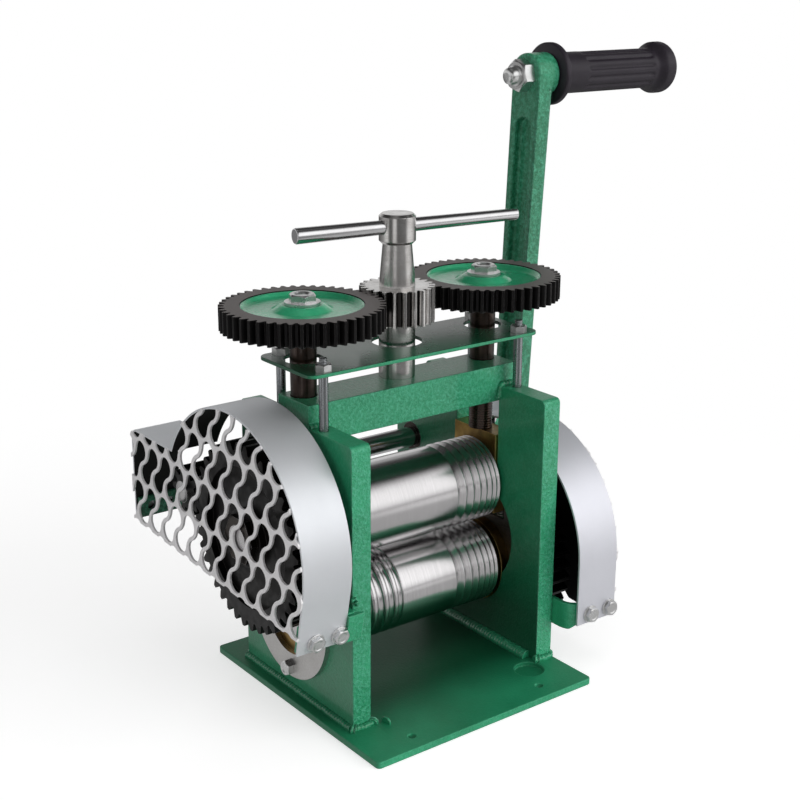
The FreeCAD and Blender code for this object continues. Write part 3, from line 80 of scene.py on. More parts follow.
def startTree(tree):
    desk["tree"] = tree
    return tree


def link(value, socket):
    desk["tree"].links.new(value, socket)


def put(kind, inputs=None, out=0, **settings):
    # add a node, and give back one of its outputs where it has any
    node = desk["tree"].nodes.new(kind if "Node" in kind else "ShaderNode" + kind)
    for key, value in settings.items():
        setattr(node, key, value)
    for key, value in (inputs or {}).items():
        if isinstance(value, bpy.types.NodeSocket):
            link(value, node.inputs[key])
        else:
            node.inputs[key].default_value = value
    return node.outputs[out] if node.outputs else None


def calc(operation, a, b=0.0, c=0.0, clamp=False):
    return put("Math", {0: a, 1: b, 2: c}, operation=operation, use_clamp=clamp)


def times(a, b):
    return calc("MULTIPLY", a, b)


def fit(value, factor, plus, clamp=False):
    return calc("MULTIPLY_ADD", value, factor, plus, clamp)


def vector(operation, a, b=(0, 0, 0), out=0):
    return put("VectorMath", {0: a, 1: b}, operation=operation, out=out)


def parts(value):
    return put("SeparateXYZ", {0: value}).node.outputs


def span(value, low, high, curve="LINEAR", top=1.0):
    # 0 at low and top at high, held outside them
    return put("MapRange", {"Value": value, "From Min": low, "From Max": high, "To Max": top},
               interpolation_type=curve)


def within(value, low, high):
    # 1 between low and high, else 0
    return times(calc("GREATER_THAN", value, low), calc("LESS_THAN", value, high))


def compass(across, ahead, offset=0.0):
    # the way round the object as a part of a turn
    turn = calc("DIVIDE", calc("ARCTAN2", ahead, across), 2 * math.pi)
    return calc("FRACT", calc("ADD", turn, offset))


def blendValue(factor, a, b):
    return put("Mix", {0: factor, 2: a, 3: b}, data_type="FLOAT")


def blendColour(factor, a, b):
    a, b = (tone if isinstance(tone, bpy.types.NodeSocket) else (*tone, 1) for tone in (a, b))
    return put("Mix", {0: factor, 6: a, 7: b}, data_type="RGBA", out=2)


def noise(where, scale, detail=2.0, rough=0.5):
    return put("TexNoise", {"Vector": where, "Scale": scale, "Detail": detail, "Roughness": rough})


def ramp(factor, stops):
    tone = put("ValToRGB", {0: factor})
    band = tone.node.color_ramp
    while len(band.elements) < len(stops):
        band.elements.new(0.5)
    for element, (place, level) in zip(band.elements, stops):
        element.position = place
        element.color = (level, level, level, 1)
    return tone


# camera and studio

studio = {
    "cameraPlace": (-447.4, -587.3, 394.7), "yaw": 37.21, "pitch": 17.45, "roll": 0.25, "lens": 63.79,
    "sensor": 36, "clip": 0.01,
    "lamps": [  # name, place, aim, wide, high, watts
        ("frontBox", (860, -1370, 610), (0, 0, 120), 1.5, 0.9, 20.0),
        ("leftBox", (-1500, -500, 500), (0, 0, 120), 0.7, 1.1, 4.4),
        ("topBox", (-100, -200, 1500), (0, 0, 100), 1.2, 1.2, 5.0),
        ("backBox", (1200, 1100, 900), (0, 0, 150), 0.6, 1.0, 2.4),
    ],
    "ambient": 0.24, "mirror": 1.5,
    # brightness by height for polished metal: a tall wall at the front right, a lower one all round
    "wall": [(0.0, 0.3), (0.44, 0.5), (0.485, 0.06), (0.51, 0.3), (0.56, 0.8), (0.64, 1.0),
             (0.8, 0.95), (0.85, 0.75), (0.88, 0.35), (0.91, 0.05), (1.0, 0.05)],
    "low": [(0.0, 0.3), (0.44, 0.5), (0.485, 0.06), (0.51, 0.1), (0.54, 0.65), (0.62, 0.5),
            (0.68, 0.4), (0.74, 0.3), (0.79, 0.04), (0.93, 0.03), (1.0, 0.2)],
    "front": [(0.0, 0.0), (0.7, 0.0), (0.76, 1.0), (0.925, 1.0), (0.97, 0.0), (1.0, 0.0)],
    "floorSide": 6, "floorTone": 0.62, "floorGlow": 0.62, "whiteFrom": 0.22, "whiteTo": 0.55,
    "patch": 0.55, "patchTo": 0.42, "streaksFrom": 0.62, "streakStart": 0.854,
    "streaks": [(0.0, 0.25), (0.1, 0.1), (0.24, 0.4), (0.3, 0.9), (0.33, 0.9), (0.36, 0.12),
                (0.41, 0.12), (0.44, 0.9), (0.47, 0.9), (0.5, 0.12), (0.65, 0.2), (0.7, 1.0),
                (0.78, 1.0), (0.83, 0.6), (0.88, 0.1), (1.0, 0.25)],
}


def addPiece(name, data):
    piece = bpy.data.objects.new(name, data)
    scene.collection.objects.link(piece)
    return piece


def aimCamera(settings):
    yaw, pitch, roll = (math.radians(settings[key]) for key in ("yaw", "pitch", "roll"))
    ahead = Vector((math.sin(yaw) * math.cos(pitch), math.cos(yaw) * math.cos(pitch), -math.sin(pitch)))
    right = Vector((math.cos(yaw), -math.sin(yaw), 0))
    up = right.cross(ahead)
    turnedRight = right * math.cos(roll) + up * math.sin(roll)
    turnedUp = up * math.cos(roll) - right * math.sin(roll)
    data = bpy.data.cameras.new("studioCamera")
    data.sensor_width, data.lens = settings["sensor"], settings["lens"]
    data.clip_start = settings["clip"]
    camera = addPiece("studioCamera", data)
    turn = Matrix((turnedRight, turnedUp, -ahead)).transposed()
    camera.matrix_world = Matrix.Translation(Vector(settings["cameraPlace"]) * mm) @ turn.to_4x4()
    scene.camera = camera


def hangLamps(settings):
    for name, place, aim, wide, high, watts in settings["lamps"]:
        data = bpy.data.lights.new(name, "AREA")
        data.shape = "RECTANGLE"
        data.size, data.size_y, data.energy = wide, high, watts
        lamp = addPiece(name, data)
        lamp.location = Vector(place) * mm
        lamp.rotation_mode = "QUATERNION"
        lamp.rotation_quaternion = (Vector(aim) - Vector(place)).to_track_quat("-Z", "Y")
        lamp.visible_glossy = False


def cleared(holder):
    holder.use_nodes = True
    holder.node_tree.nodes.clear()
    startTree(holder.node_tree)


def glow(level):
    return put("Emission", {"Color": (1, 1, 1, 1), "Strength": level})


def mixed(factor, a, b):
    return put("MixShader", {0: factor, 1: a, 2: b})


def lightPath():
    path = put("LightPath").node.outputs
    return calc("MAXIMUM", path["Is Camera Ray"], path["Is Transmission Ray"]), path["Is Glossy Ray"]


def makeWorld(settings):
    scene.world = bpy.data.worlds.new("studioWorld")
    cleared(scene.world)
    seen, glossy = lightPath()
    way = parts(put("TexCoord", out="Generated"))
    rise = fit(way[2], 0.5, 0.5)
    front = ramp(compass(way[0], way[1]), settings["front"])
    mirrored = blendColour(front, ramp(rise, settings["low"]), ramp(rise, settings["wall"]))
    level = blendValue(glossy, settings["ambient"], times(mirrored, settings["mirror"]))
    level = blendValue(seen, level, 1.0)
    back = put("Background", {"Color": (1, 1, 1, 1), "Strength": level})
    put("OutputWorld", {0: back})


def layFloor(settings):
    mesh = bpy.data.meshes.new("studioFloor")
    side = settings["floorSide"]
    mesh.from_pydata([(-side, -side, 0), (side, -side, 0), (side, side, 0), (-side, side, 0)], [],
                     [(0, 1, 2, 3)])
    material = bpy.data.materials.new("studioFloor")
    cleared(material)
    where = put("TexCoord", out="Object")
    away = vector("LENGTH", where, out="Value")
    seen, glossy = lightPath()
    matt = put("BsdfDiffuse", {"Color": (*[settings["floorTone"]] * 3, 1)})
    # the camera sees a white floor that takes the shadow and is plain white farther out
    shadowed = put("AddShader", {0: matt, 1: glow(settings["floorGlow"])})
    far = span(away, settings["whiteFrom"], settings["whiteTo"], "SMOOTHSTEP")
    pale = mixed(far, shadowed, glow(1.0))
    # polished metal mirrors streaks of light round the object and an even patch under it
    place = parts(where)
    streaks = ramp(compass(place[0], place[1], settings["streakStart"]), settings["streaks"])
    near = span(away, settings["patchTo"], settings["streaksFrom"])
    plain = mixed(glossy, matt, glow(blendValue(near, settings["patch"], streaks)))
    put("OutputMaterial", {0: mixed(seen, plain, pale)})
    mesh.materials.append(material)
    floor = addPiece("studioFloor", mesh)


aimCamera(studio)
hangLamps(studio)
makeWorld(studio)
layFloor(studio)
scene.view_settings.view_transform = "Standard"
print("studio ready")


# shader groups shared by the materials

groups = {}


def addSocket(label, kind, way="INPUT"):
    return desk["tree"].interface.new_socket(label, in_out=way, socket_type="NodeSocket" + kind)


def addInputs(values):
    # inputs named with their starting values
    kinds = {float: "Float", int: "Int", tuple: "Vector"}
    for label, value in values.items():
        addSocket(label, kinds[type(value)]).default_value = value


def groupEnds():
    given, out = (desk["tree"].nodes.new("NodeGroup" + way) for way in ("Input", "Output"))
    return given.outputs, out.inputs


def shaderGroup(name, values, made):
    groups[name] = startTree(bpy.data.node_groups.new(name, "ShaderNodeTree"))
    addInputs({"Vector": (0, 0, 0), **values})
    for label in made:
        addSocket(label, "Vector" if label == "Normal" else "Float", "OUTPUT")
    return groupEnds()


def edgeWearAndGlintGroup():
    # how near a sharp edge is, broken up by noise, for edges painted lighter partly as wear and partly
    # as painted highlight, and the normal rounded over that edge
    given, out = shaderGroup("edgeWear", {"Radius": 0.0006, "Strength": 5.0, "Break Up": 700.0},
                             ("Edge", "Normal"))
    rounded = put("Bevel", {"Radius": given["Radius"]}, samples=4)
    own = put("NewGeometry", out="Normal")
    same = vector("DOT_PRODUCT", rounded, own, "Value")
    bent = times(calc("SUBTRACT", 1.0, same), given["Strength"])
    spread = noise(given["Vector"], given["Break Up"], 3.0)
    broken = fit(spread, 1.6, -0.2)
    link(calc("MULTIPLY", bent, broken, clamp=True), out["Edge"])
    link(rounded, out["Normal"])


def hammeredGroup():
    # lumps of hammered paint, with soft lighter flecks of mixed sizes
    given, out = shaderGroup("hammered", {"Cells": 900.0}, ("Height", "Fleck"))
    cells = put("TexVoronoi", {"Vector": given["Vector"], "Scale": given["Cells"],
                               "Smoothness": 0.9}, feature="SMOOTH_F1", out="Distance")
    waves = noise(given["Vector"], times(given["Cells"], 0.55), 4.0, 0.75)
    link(fit(cells, -0.45, waves), out["Height"])
    link(span(waves, 0.44, 0.66), out["Fleck"])


def cloudGroup():
    # slow change of tone over a surface, with finer dirt in it
    given, out = shaderGroup("cloud", {"Size": 0.03, "Contrast": 1.5}, ("Value",))
    spread = noise(given["Vector"], calc("DIVIDE", 1.0, given["Size"]), 5.0, 0.6)
    centred = calc("SUBTRACT", spread, 0.5)
    link(fit(centred, given["Contrast"], 0.5, clamp=True), out["Value"])


def toolLinesGroup():
    # fine tool lines: the vector's parts are the line counts per metre along each axis
    given, out = shaderGroup("toolLines", {"Lines": (2000, 30, 30)}, ("Value",))
    spread = vector("MULTIPLY", given["Vector"], given["Lines"])
    link(noise(spread, 1.0, 4.0, 0.7), out["Value"])


def aroundAxisGroup():
    # distance from an axis through a centre, and the place along that axis, for turned faces
    given, out = shaderGroup("aroundAxis", {"Centre": (0, 0, 0), "Axis": (0, 0, 1)}, ("Radius", "Along"))
    away = vector("SUBTRACT", given["Vector"], given["Centre"])
    across = vector("CROSS_PRODUCT", away, given["Axis"])
    link(vector("LENGTH", across, out="Value"), out["Radius"])
    link(vector("DOT_PRODUCT", away, given["Axis"], "Value"), out["Along"])


edgeWearAndGlintGroup()
hammeredGroup()
cloudGroup()
toolLinesGroup()
aroundAxisGroup()


def use(name, where, **values):
    inputs = {label.replace("BreakUp", "Break Up"): value for label, value in values.items()}
    return put("Group", {"Vector": where, **inputs}, node_tree=groups[name]).node.outputs


# materials

def startMaterial(name, wearAndGlint):
    # the object's own place and normal, and its edge mask for wear and painted highlight from its
    # radius, strength and break-up
    material = bpy.data.materials.new(name)
    cleared(material)
    where = put("TexCoord").node.outputs
    edges = use("edgeWear", where["Object"], Radius=wearAndGlint[0], Strength=wearAndGlint[1], BreakUp=wearAndGlint[2])
    return material, where["Object"], where["Normal"], edges


def cloudy(where, size, contrast):
    return use("cloud", where, Size=size, Contrast=contrast)["Value"]


def finishMaterial(material, edges, sockets, height, distance, strength):
    # the bump rides on the rounded normal
    normal = put("Bump", {"Height": height, "Distance": distance, "Strength": strength,
                          "Normal": edges["Normal"]})
    shader = put("BsdfPrincipled", {**sockets, "Normal": normal})
    put("OutputMaterial", {0: shader})
    return material


def scaled(values, factor=mm):
    return tuple(factor * part for part in values)


def tint(mask, amount, under, over):
    return blendColour(times(mask, amount), under, over)


paintTones = {
    "dark": (0.006, 0.13, 0.056), "mid": (0.02, 0.25, 0.12), "light": (0.2, 0.56, 0.38),
    "fleck": (0.1, 0.5, 0.31), "coverShadeTone": (0.006, 0.0062, 0.006),
}


def greenPaint(name, hammer=1.0, flatFaces=0.2, cells=900.0, glossy=0.3, edge=0.0007, coat=0.35,
               paintedLightLevel=1.0, frontPaintedLight=1.5, wornAndGlint=1.0, extra=None):
    # hammered gloss paint: strongest on the faces that look along Y, smooth on the large flats; faces
    # that look along Y are painted lighter as painted light from the front, and each piece's copy of the
    # paint is painted lighter or darker as painted light
    material, where, facing, edges = startMaterial(name, (edge, 5.0, 500.0))
    spots = use("hammered", where, Cells=cells)
    cloud = cloudy(where, 0.05, 1.8)
    front = calc("POWER", calc("ABSOLUTE", parts(facing)[1]), 2.0)
    amount = times(blendValue(front, flatFaces, 1.0), hammer)
    # painted light: this copy of the paint is made lighter or darker for how lit the piece is
    dark, mid = scaled(paintTones["dark"], paintedLightLevel), scaled(paintTones["mid"], paintedLightLevel)
    # painted light from the front: faces that look along Y take these lighter tones
    lit = blendColour(cloud, scaled(dark, frontPaintedLight), scaled(mid, frontPaintedLight))
    tone = blendColour(front, blendColour(cloud, dark, mid), lit)
    tone = tint(times(spots["Fleck"], amount), 0.6, tone, paintTones["fleck"])
    # edges painted lighter, partly as wear and partly as painted highlight
    tone = tint(edges["Edge"], wornAndGlint, tone, paintTones["light"])
    sockets = {"Base Color": tone, "Roughness": fit(cloud, 0.14, glossy),
               "Coat Weight": coat, "Coat Roughness": 0.12}
    if extra:
        extra(where, sockets)
    return finishMaterial(material, edges, sockets, times(spots["Height"], amount), 0.0009, 1.0)


sideSet = {
    "inner": 0.0592, "outer": 0.0707, "skin": 0.0002, "passCentre": (0.00425, 0.0105, 0.069),
    "passWide": 0.0652, "passDeep": 0.007, "lip": 0.002, "coverShadeLow": 0.062, "coverShadeHigh": 0.088,
    "drum": (0, 0.0159, 0.1017), "drumIn": 0.055, "drumOut": 0.063, "box": (0.08, 0.131),
    "deep": (0.03, 0.085), "foot": (0.1, 0.03), "shadeTone": (0.002, 0.035, 0.014),
}


def sideFaces(where, sockets):
    # bare steel in the round recess behind the rollers, painted darker towards its bottom as painted
    # shade; the outer faces inside the gear covers painted near black as painted shade, and the inner
    # faces painted darker towards the bottom as painted shade
    s = sideSet
    ring = use("aroundAxis", where, Centre=s["passCentre"], Axis=along["x"])
    out = calc("ABSOLUTE", ring["Along"])
    bare = times(calc("LESS_THAN", ring["Radius"], s["passWide"] / 2),
                 within(out, s["inner"], s["inner"] + s["passDeep"]))
    place = parts(where)
    # painted shade: inside the gear covers the plates' outer faces are painted near black
    drum = use("aroundAxis", where, Centre=s["drum"], Axis=along["x"])["Radius"]
    box = times(calc("GREATER_THAN", place[1], s["drum"][1]), within(place[2], *s["box"]))
    covered = calc("MAXIMUM", span(drum, s["drumOut"], s["drumIn"]), box)
    covered = times(covered, span(place[2], s["coverShadeLow"], s["coverShadeHigh"]))
    coverShade = times(covered, calc("GREATER_THAN", out, s["outer"] - s["skin"]))
    lines = use("toolLines", where, Lines=(400, 60, 900))["Value"]
    steel = blendColour(lines, (0.08, 0.07, 0.064), (0.26, 0.24, 0.225))
    # painted shade: the bare steel is painted near black towards the recess's bottom
    steel = blendColour(span(place[2], *s["deep"]), (0.012, 0.01, 0.009), steel)
    # painted shade: the inner faces are painted darker towards the bottom
    foot = times(span(place[2], *s["foot"]), within(out, s["inner"] - s["lip"], s["inner"] + s["skin"]))
    tone = tint(foot, 0.8, sockets["Base Color"], s["shadeTone"])
    # painted shade inside the gear covers
    tone = tint(coverShade, 0.93, tone, paintTones["coverShadeTone"])
    dull = calc("MAXIMUM", bare, coverShade)
    sockets["Base Color"] = blendColour(bare, tone, steel)
    sockets["Metallic"] = bare
    sockets["Roughness"] = blendValue(dull, sockets["Roughness"], 0.45)
    sockets["Coat Weight"] = fit(dull, -0.35, 0.35)


baseSet = {"front": (-0.07, -0.02), "between": (-0.054, 0.0635), "shadeTone": (0.001, 0.04, 0.015)}


def baseFaces(where, sockets):
    # the base is painted darker under the rollers than along its front, as painted shade between the
    # plates
    place = parts(where)
    under = span(place[1], *baseSet["front"], "SMOOTHSTEP")
    under = times(under, fit(within(place[0], *baseSet["between"]), 0.65, 0.25))
    sockets["Base Color"] = blendColour(under, sockets["Base Color"], baseSet["shadeTone"])
    sockets["Specular IOR Level"] = fit(under, -0.25, 0.5)


def steel(name, tone, dark, rough, lines, lineDepth=0.00002, edge=0.0004, stain=0.35, coat=0.0,
          edgeTone=(0.85, 0.85, 0.86), cloudSize=0.02, darkBand=None):
    # bare or plated metal with tool lines, a little staining, and edges painted brighter partly as wear
    # and partly as painted highlight
    material, where, facing, edges = startMaterial(name, (edge, 3.0, 900.0))
    marks = use("toolLines", where, Lines=lines)["Value"]
    cloud = cloudy(where, cloudSize, 2.2)
    colour = tint(cloud, stain, tone, dark)
    streak = fit(marks, 3.2, -1.2, clamp=True)
    colour = tint(streak, 0.36, colour, dark)
    colour = tint(edges["Edge"], 0.7, colour, edgeTone)
    if darkBand:
        # a band round the pinion, between these radii and heights, is painted darker
        ring = use("aroundAxis", where, Centre=darkBand["centre"], Axis=along["z"])
        held = times(within(ring["Radius"], *darkBand["depth"]),
                     within(ring["Along"], *darkBand["height"]))
        colour = tint(held, 0.88, colour, (0.02, 0.016, 0.014))
    uneven = calc("ADD", marks, times(cloud, 0.5))
    sockets = {"Base Color": colour, "Metallic": 1.0, "Coat Weight": coat, "Coat Roughness": 0.15,
               "Roughness": fit(uneven, rough * 0.55, rough * 0.58)}
    return finishMaterial(material, edges, sockets, marks, lineDepth, 0.6)


def gearIron(name, axis, centre, greased=True, faceTone=(0.0035, 0.003, 0.003)):
    # blackened teeth with arrises painted lighter partly as wear and partly as painted highlight, a
    # machined flat face, greasy inside the covers
    material, where, facing, edges = startMaterial(name, (0.00045, 4.5, 500.0))
    ring = use("aroundAxis", where, Centre=centre, Axis=along[axis])
    straight = vector("DOT_PRODUCT", facing, along[axis], "Value")
    flat = calc("GREATER_THAN", calc("ABSOLUTE", straight), 0.9)
    turning = noise(put("CombineXYZ", {0: times(ring["Radius"], 2600.0)}), 1.0, 3.0)
    teeth = blendColour(cloudy(where, 0.008, 2.0), (0.002, 0.0018, 0.002), (0.005, 0.0045, 0.0047))
    tone = blendColour(flat, teeth, blendColour(turning, faceTone, scaled(faceTone, 1.9)))
    sockets = {"Base Color": tint(edges["Edge"], 0.75, tone, (0.13, 0.12, 0.118)),
               "Metallic": 0.35, "Specular IOR Level": 0.25,
               "Roughness": 0.42 if greased else blendValue(flat, 0.42, 0.5)}
    height = turning
    if greased:
        height = noise(where, 260.0, 4.0)
        sockets["Coat Weight"] = span(height, 0.4, 0.6, top=0.22)
        sockets["Coat Roughness"] = 0.1
    return finishMaterial(material, edges, sockets, height, 0.00012, 0.6)


def brassBlock(name, milled):
    material, where, facing, edges = startMaterial(name, (0.0005, 3.0, 500.0))
    marks = use("toolLines", where, Lines=milled)["Value"]
    tone = blendColour(cloudy(where, 0.012, 2.6), (0.52, 0.33, 0.095), (0.20, 0.115, 0.035))
    # edges painted brighter, partly as wear and partly as painted highlight
    sockets = {"Base Color": tint(edges["Edge"], 0.6, tone, (0.85, 0.64, 0.3)), "Metallic": 1.0,
               "Roughness": fit(marks, 0.25, 0.22),
               "Coat Weight": 0.25, "Coat Roughness": 0.2}
    return finishMaterial(material, edges, sockets, marks, 0.00006, 0.7)


def aluminiumSheet(name, tone, brushed, rough, hollow=None, metal=0.6):
    # brushed sheet; where a hollow's middle is given, its inner faces are painted near black as painted
    # shade
    material, where, facing, edges = startMaterial(name, (0.0003, 3.0, 300.0))
    marks = use("toolLines", where, Lines=brushed)["Value"]
    colour = tint(cloudy(where, 0.04, 1.6), 0.3, tone, scaled(tone, 0.72))
    # edges painted near white, partly as wear and partly as painted highlight
    colour = tint(edges["Edge"], 0.8, colour, (0.93, 0.93, 0.94))
    roughness = fit(marks, 0.2, rough)
    if hollow:
        # painted shade: faces that look into the hollow are painted near black
        inward = vector("MULTIPLY", vector("SUBTRACT", hollow, where), (0, 1, 1))
        inside = calc("GREATER_THAN", vector("DOT_PRODUCT", inward, facing, "Value"), 0.004)
        colour = blendColour(inside, colour, (0.004, 0.004, 0.004))
        metal = fit(inside, -metal, metal)
        roughness = blendValue(inside, roughness, 0.8)
    sockets = {"Base Color": colour, "Metallic": metal, "Roughness": roughness}
    return finishMaterial(material, edges, sockets, marks, 0.00003, 0.5)


def rubberGrip(name):
    material, where, facing, edges = startMaterial(name, (0.0009, 2.5, 400.0))
    grain = noise(where, 1800.0, 3.0)
    tone = blendColour(cloudy(where, 0.02, 1.5), (0.010, 0.0075, 0.0115), (0.022, 0.017, 0.025))
    # edges painted lighter, partly as wear and partly as painted highlight
    sockets = {"Base Color": tint(edges["Edge"], 0.5, tone, (0.06, 0.053, 0.06)),
               "Roughness": fit(grain, 0.2, 0.36), "Specular IOR Level": 0.35}
    return finishMaterial(material, edges, sockets, grain, 0.00008, 0.5)


bareFace = (0.085, 0.076, 0.073)
finish = {
    # the paints below are lighter or darker copies of one green paint as painted light, with faces that
    # look along Y painted lighter as painted light from the front
    "plate": greenPaint("sidePlatePaint", hammer=1.3, paintedLightLevel=1.2, extra=sideFaces),
    "beam": greenPaint("beamPaint", hammer=1.3, flatFaces=0.3, coat=0.42),
    "base": greenPaint("basePaint", hammer=0.6, flatFaces=0.15, glossy=0.34, coat=0.0, paintedLightLevel=1.2,
                       extra=baseFaces),
    "topPlate": greenPaint("topPlatePaint", hammer=0.35, flatFaces=0.0, glossy=0.2, edge=0.0004,
                           coat=0.15, paintedLightLevel=0.45, frontPaintedLight=3.2, wornAndGlint=0.4),
    "casting": greenPaint("castingPaint", flatFaces=0.9, cells=700.0, edge=0.0014, frontPaintedLight=1.0),
    "bracket": greenPaint("bracketPaint", hammer=0.9, flatFaces=0.3, paintedLightLevel=1.3, frontPaintedLight=1.6),
    "rearBracket": greenPaint("rearBracketPaint", hammer=0.9, flatFaces=0.3, paintedLightLevel=0.35),
    "web": greenPaint("webPaint", hammer=0.5, flatFaces=0.5, cells=350.0, glossy=0.12, edge=0.0013,
                      coat=0.3, paintedLightLevel=1.6),
    "bead": greenPaint("beadPaint", hammer=0.4, flatFaces=0.6, cells=500.0, glossy=0.16),
    "roller": steel("rollerSteel", (0.68, 0.67, 0.675), (0.34, 0.32, 0.325), 0.2, (4600, 10, 10),
                    lineDepth=0.000012, stain=0.3, cloudSize=0.05),
    "shaft": steel("shaftSteel", (0.6, 0.6, 0.61), (0.35, 0.33, 0.32), 0.22, (3000, 20, 20)),
    "flange": steel("flangeSteel", (0.62, 0.61, 0.6), (0.4, 0.38, 0.36), 0.36, (60, 900, 900)),
    "adjuster": steel("adjusterSteel", (0.74, 0.73, 0.72), (0.27, 0.245, 0.23), 0.2, (60, 60, 4200),
                      lineDepth=0.00003, stain=0.5, cloudSize=0.009, darkBand={
                          "centre": (0.00425, 0.0105, 0), "depth": (0.0125, 0.0185),
                          "height": (0.2052, 0.2241)}),
    "bar": steel("barSteel", (0.7, 0.7, 0.71), (0.5, 0.48, 0.48), 0.16, (60, 900, 900), stain=0.25),
    "screw": steel("screwSteel", (0.06, 0.036, 0.027), (0.018, 0.011, 0.009), 0.34, (500, 500, 500),
                   stain=0.8, coat=0.5, edgeTone=(0.2, 0.14, 0.11), cloudSize=0.01),
    "stud": steel("studZinc", (0.36, 0.375, 0.39), (0.2, 0.21, 0.22), 0.28, (300, 300, 1500), stain=0.4),
    "zinc": steel("boltZinc", (0.76, 0.765, 0.77), (0.5, 0.49, 0.47), 0.3, (220, 220, 220),
                  lineDepth=0.000004, edge=0.00025, stain=0.4, cloudSize=0.006),
    "spring": steel("springSteel", (0.35, 0.34, 0.33), (0.16, 0.14, 0.13), 0.3, (900, 900, 900)),
    "brass": brassBlock("bearingBrass", (90, 1400, 240)),
    "bush": brassBlock("bushBrass", (1600, 120, 120)),
    "collar": steel("collarSteel", (0.05, 0.042, 0.036), (0.016, 0.013, 0.011), 0.35, (900, 90, 90)),
    "leftBand": aluminiumSheet("leftBandAluminium", (0.78, 0.80, 0.83), (1500, 18, 18), 0.38,
                               (0, 0.03, 0.1)),
    "rightBand": aluminiumSheet("rightBandAluminium", (0.76, 0.765, 0.82), (1500, 18, 18), 0.4,
                                (0, 0.02, 0.085)),
    "panel": aluminiumSheet("panelAluminium", (0.95, 0.935, 0.945), (200, 200, 200), 0.45, metal=0.25),
    "leftTopGear": gearIron("leftTopGearIron", "z", scaled((*screwAxes["left"], 0)), False, bareFace),
    "rightTopGear": gearIron("rightTopGearIron", "z", scaled((*screwAxes["right"], 0)), False, bareFace),
    "upperGear": gearIron("upperGearIron", "x", scaled((0, *upperAxis))),
    "lowerGear": gearIron("lowerGearIron", "x", scaled((0, *rollerAxis))),
    "crankPinion": gearIron("crankPinionIron", "x", scaled((0, *crankAxis))),
    "idler": gearIron("idlerIron", "x", scaled((0, *idlerAxis))),
    # near black material for the sheet of painted shade inside the right cover
    "coverShadeSheet": gearIron("liningBlack", "y", (0, 0, 0), False, bareFace),
    "rubber": rubberGrip("gripRubber"),
}
print("materials ready:", len(finish))


# tools for pieces

def settle(piece, key, body, *replaced):
    # give a finished piece its material, its body and the nodes that it stands for
    piece.data.materials.clear()
    piece.data.materials.append(finish[key])
    piece.data.polygons.foreach_set("material_index", [0] * len(piece.data.polygons))
    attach(piece, body)
    if replaced:
        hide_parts(*replaced)


def bake(piece):
    # turn the modifiers' result into the piece's own plain mesh
    bpy.context.view_layer.update()
    graph = bpy.context.evaluated_depsgraph_get()
    mesh = bpy.data.meshes.new_from_object(piece.evaluated_get(graph))
    mesh.name = piece.name
    if piece.type != "MESH":
        new = addPiece(piece.name + "Solid", mesh)
        bpy.data.objects.remove(piece)
        return new
    piece.modifiers.clear()
    piece.data = mesh
    return piece


def smoothed(piece, sharpFrom):
    piece.data.shade_smooth()
    piece.data.set_sharp_from_angle(angle=math.radians(sharpFrom))
    return piece


def ringSolid(name, rings):
    # a closed solid through rings of places in millimetres
    work = bmesh.new()
    rings = [[work.verts.new(Vector(spot) * mm) for spot in ring] for ring in rings]
    work.faces.new(rings[0][::-1])
    work.faces.new(rings[-1])
    for low, high in zip(rings, rings[1:]):
        for k in range(len(low)):
            after = (k + 1) % len(low)
            work.faces.new((low[k], low[after], high[after], high[k]))
    bmesh.ops.recalc_face_normals(work, faces=work.faces)
    mesh = bpy.data.meshes.new(name)
    work.to_mesh(mesh)
    work.free()
    return addPiece(name, mesh)


def circle(count):
    return [2 * math.pi * k / count for k in range(count)]


def placeOn(axis, a, b, at):
    return (a, b, at) if axis == "z" else (at, a, b)


def prism(name, outline, low, high, axis="z"):
    return ringSolid(name, [[placeOn(axis, a, b, at) for a, b in outline] for at in (low, high)])


def turnedSolid(name, steps, axis="z", centre=(0, 0), count=48):
    # steps are (place along, radius)
    return ringSolid(name, [[placeOn(axis, centre[0] + radius * math.cos(angle),
                                     centre[1] + radius * math.sin(angle), at)
                             for angle in circle(count)] for at, radius in steps])


def joinInto(piece, *others):
    # copy the other pieces' faces into the first one's mesh
    work = bmesh.new()
    for part in (piece, *others):
        work.from_mesh(part.data)
    work.to_mesh(piece.data)
    work.free()
    for other in others:
        bpy.data.objects.remove(other)
    return piece


def pointMesh(name, spots):
    mesh = bpy.data.meshes.new(name)
    mesh.from_pydata([Vector(spot) * mm for spot in spots], [], [])
    return addPiece(name, mesh)


def around(centre, radius, angles):
    return [(centre[0] + radius * math.cos(math.radians(angle)),
             centre[1] + radius * math.sin(math.radians(angle))) for angle in angles]


# geometry trees: every one takes a material, and ends as one plain mesh with it

def geometryTree(name, values, *objects):
    startTree(bpy.data.node_groups.new(name, "GeometryNodeTree"))
    addSocket("Geometry", "Geometry")
    addSocket("Material", "Material")
    for label in objects:
        addSocket(label, "Object")
    addInputs(values)
    addSocket("Geometry", "Geometry", "OUTPUT")
    return groupEnds()


def shape(kind, inputs=None, out=0, **settings):
    return put("GeometryNode" + kind, inputs, out, **settings)


def closeTree(given, out, geometry):
    solid = shape("RealizeInstances", {0: geometry})
    coated = shape("SetMaterial", {0: solid, "Material": given["Material"]})
    link(coated, out[0])
    return desk["tree"]


def vectorOf(x=0.0, y=0.0, z=0.0):
    return put("CombineXYZ", {0: x, 1: y, 2: z})


def coiled(resolution, turns, radius, height):
    return shape("CurveSpiral", {"Resolution": resolution, "Rotations": turns, "Start Radius": radius,
                                 "End Radius": radius, "Height": height})


def tubeAlong(curve, resolution, radius):
    profile = shape("CurvePrimitiveCircle", {"Resolution": resolution, "Radius": radius})
    return shape("CurveToMesh", {0: curve, 1: profile, "Fill Caps": True})


def smoothShape(geometry):
    return shape("SetShadeSmooth", {0: geometry})


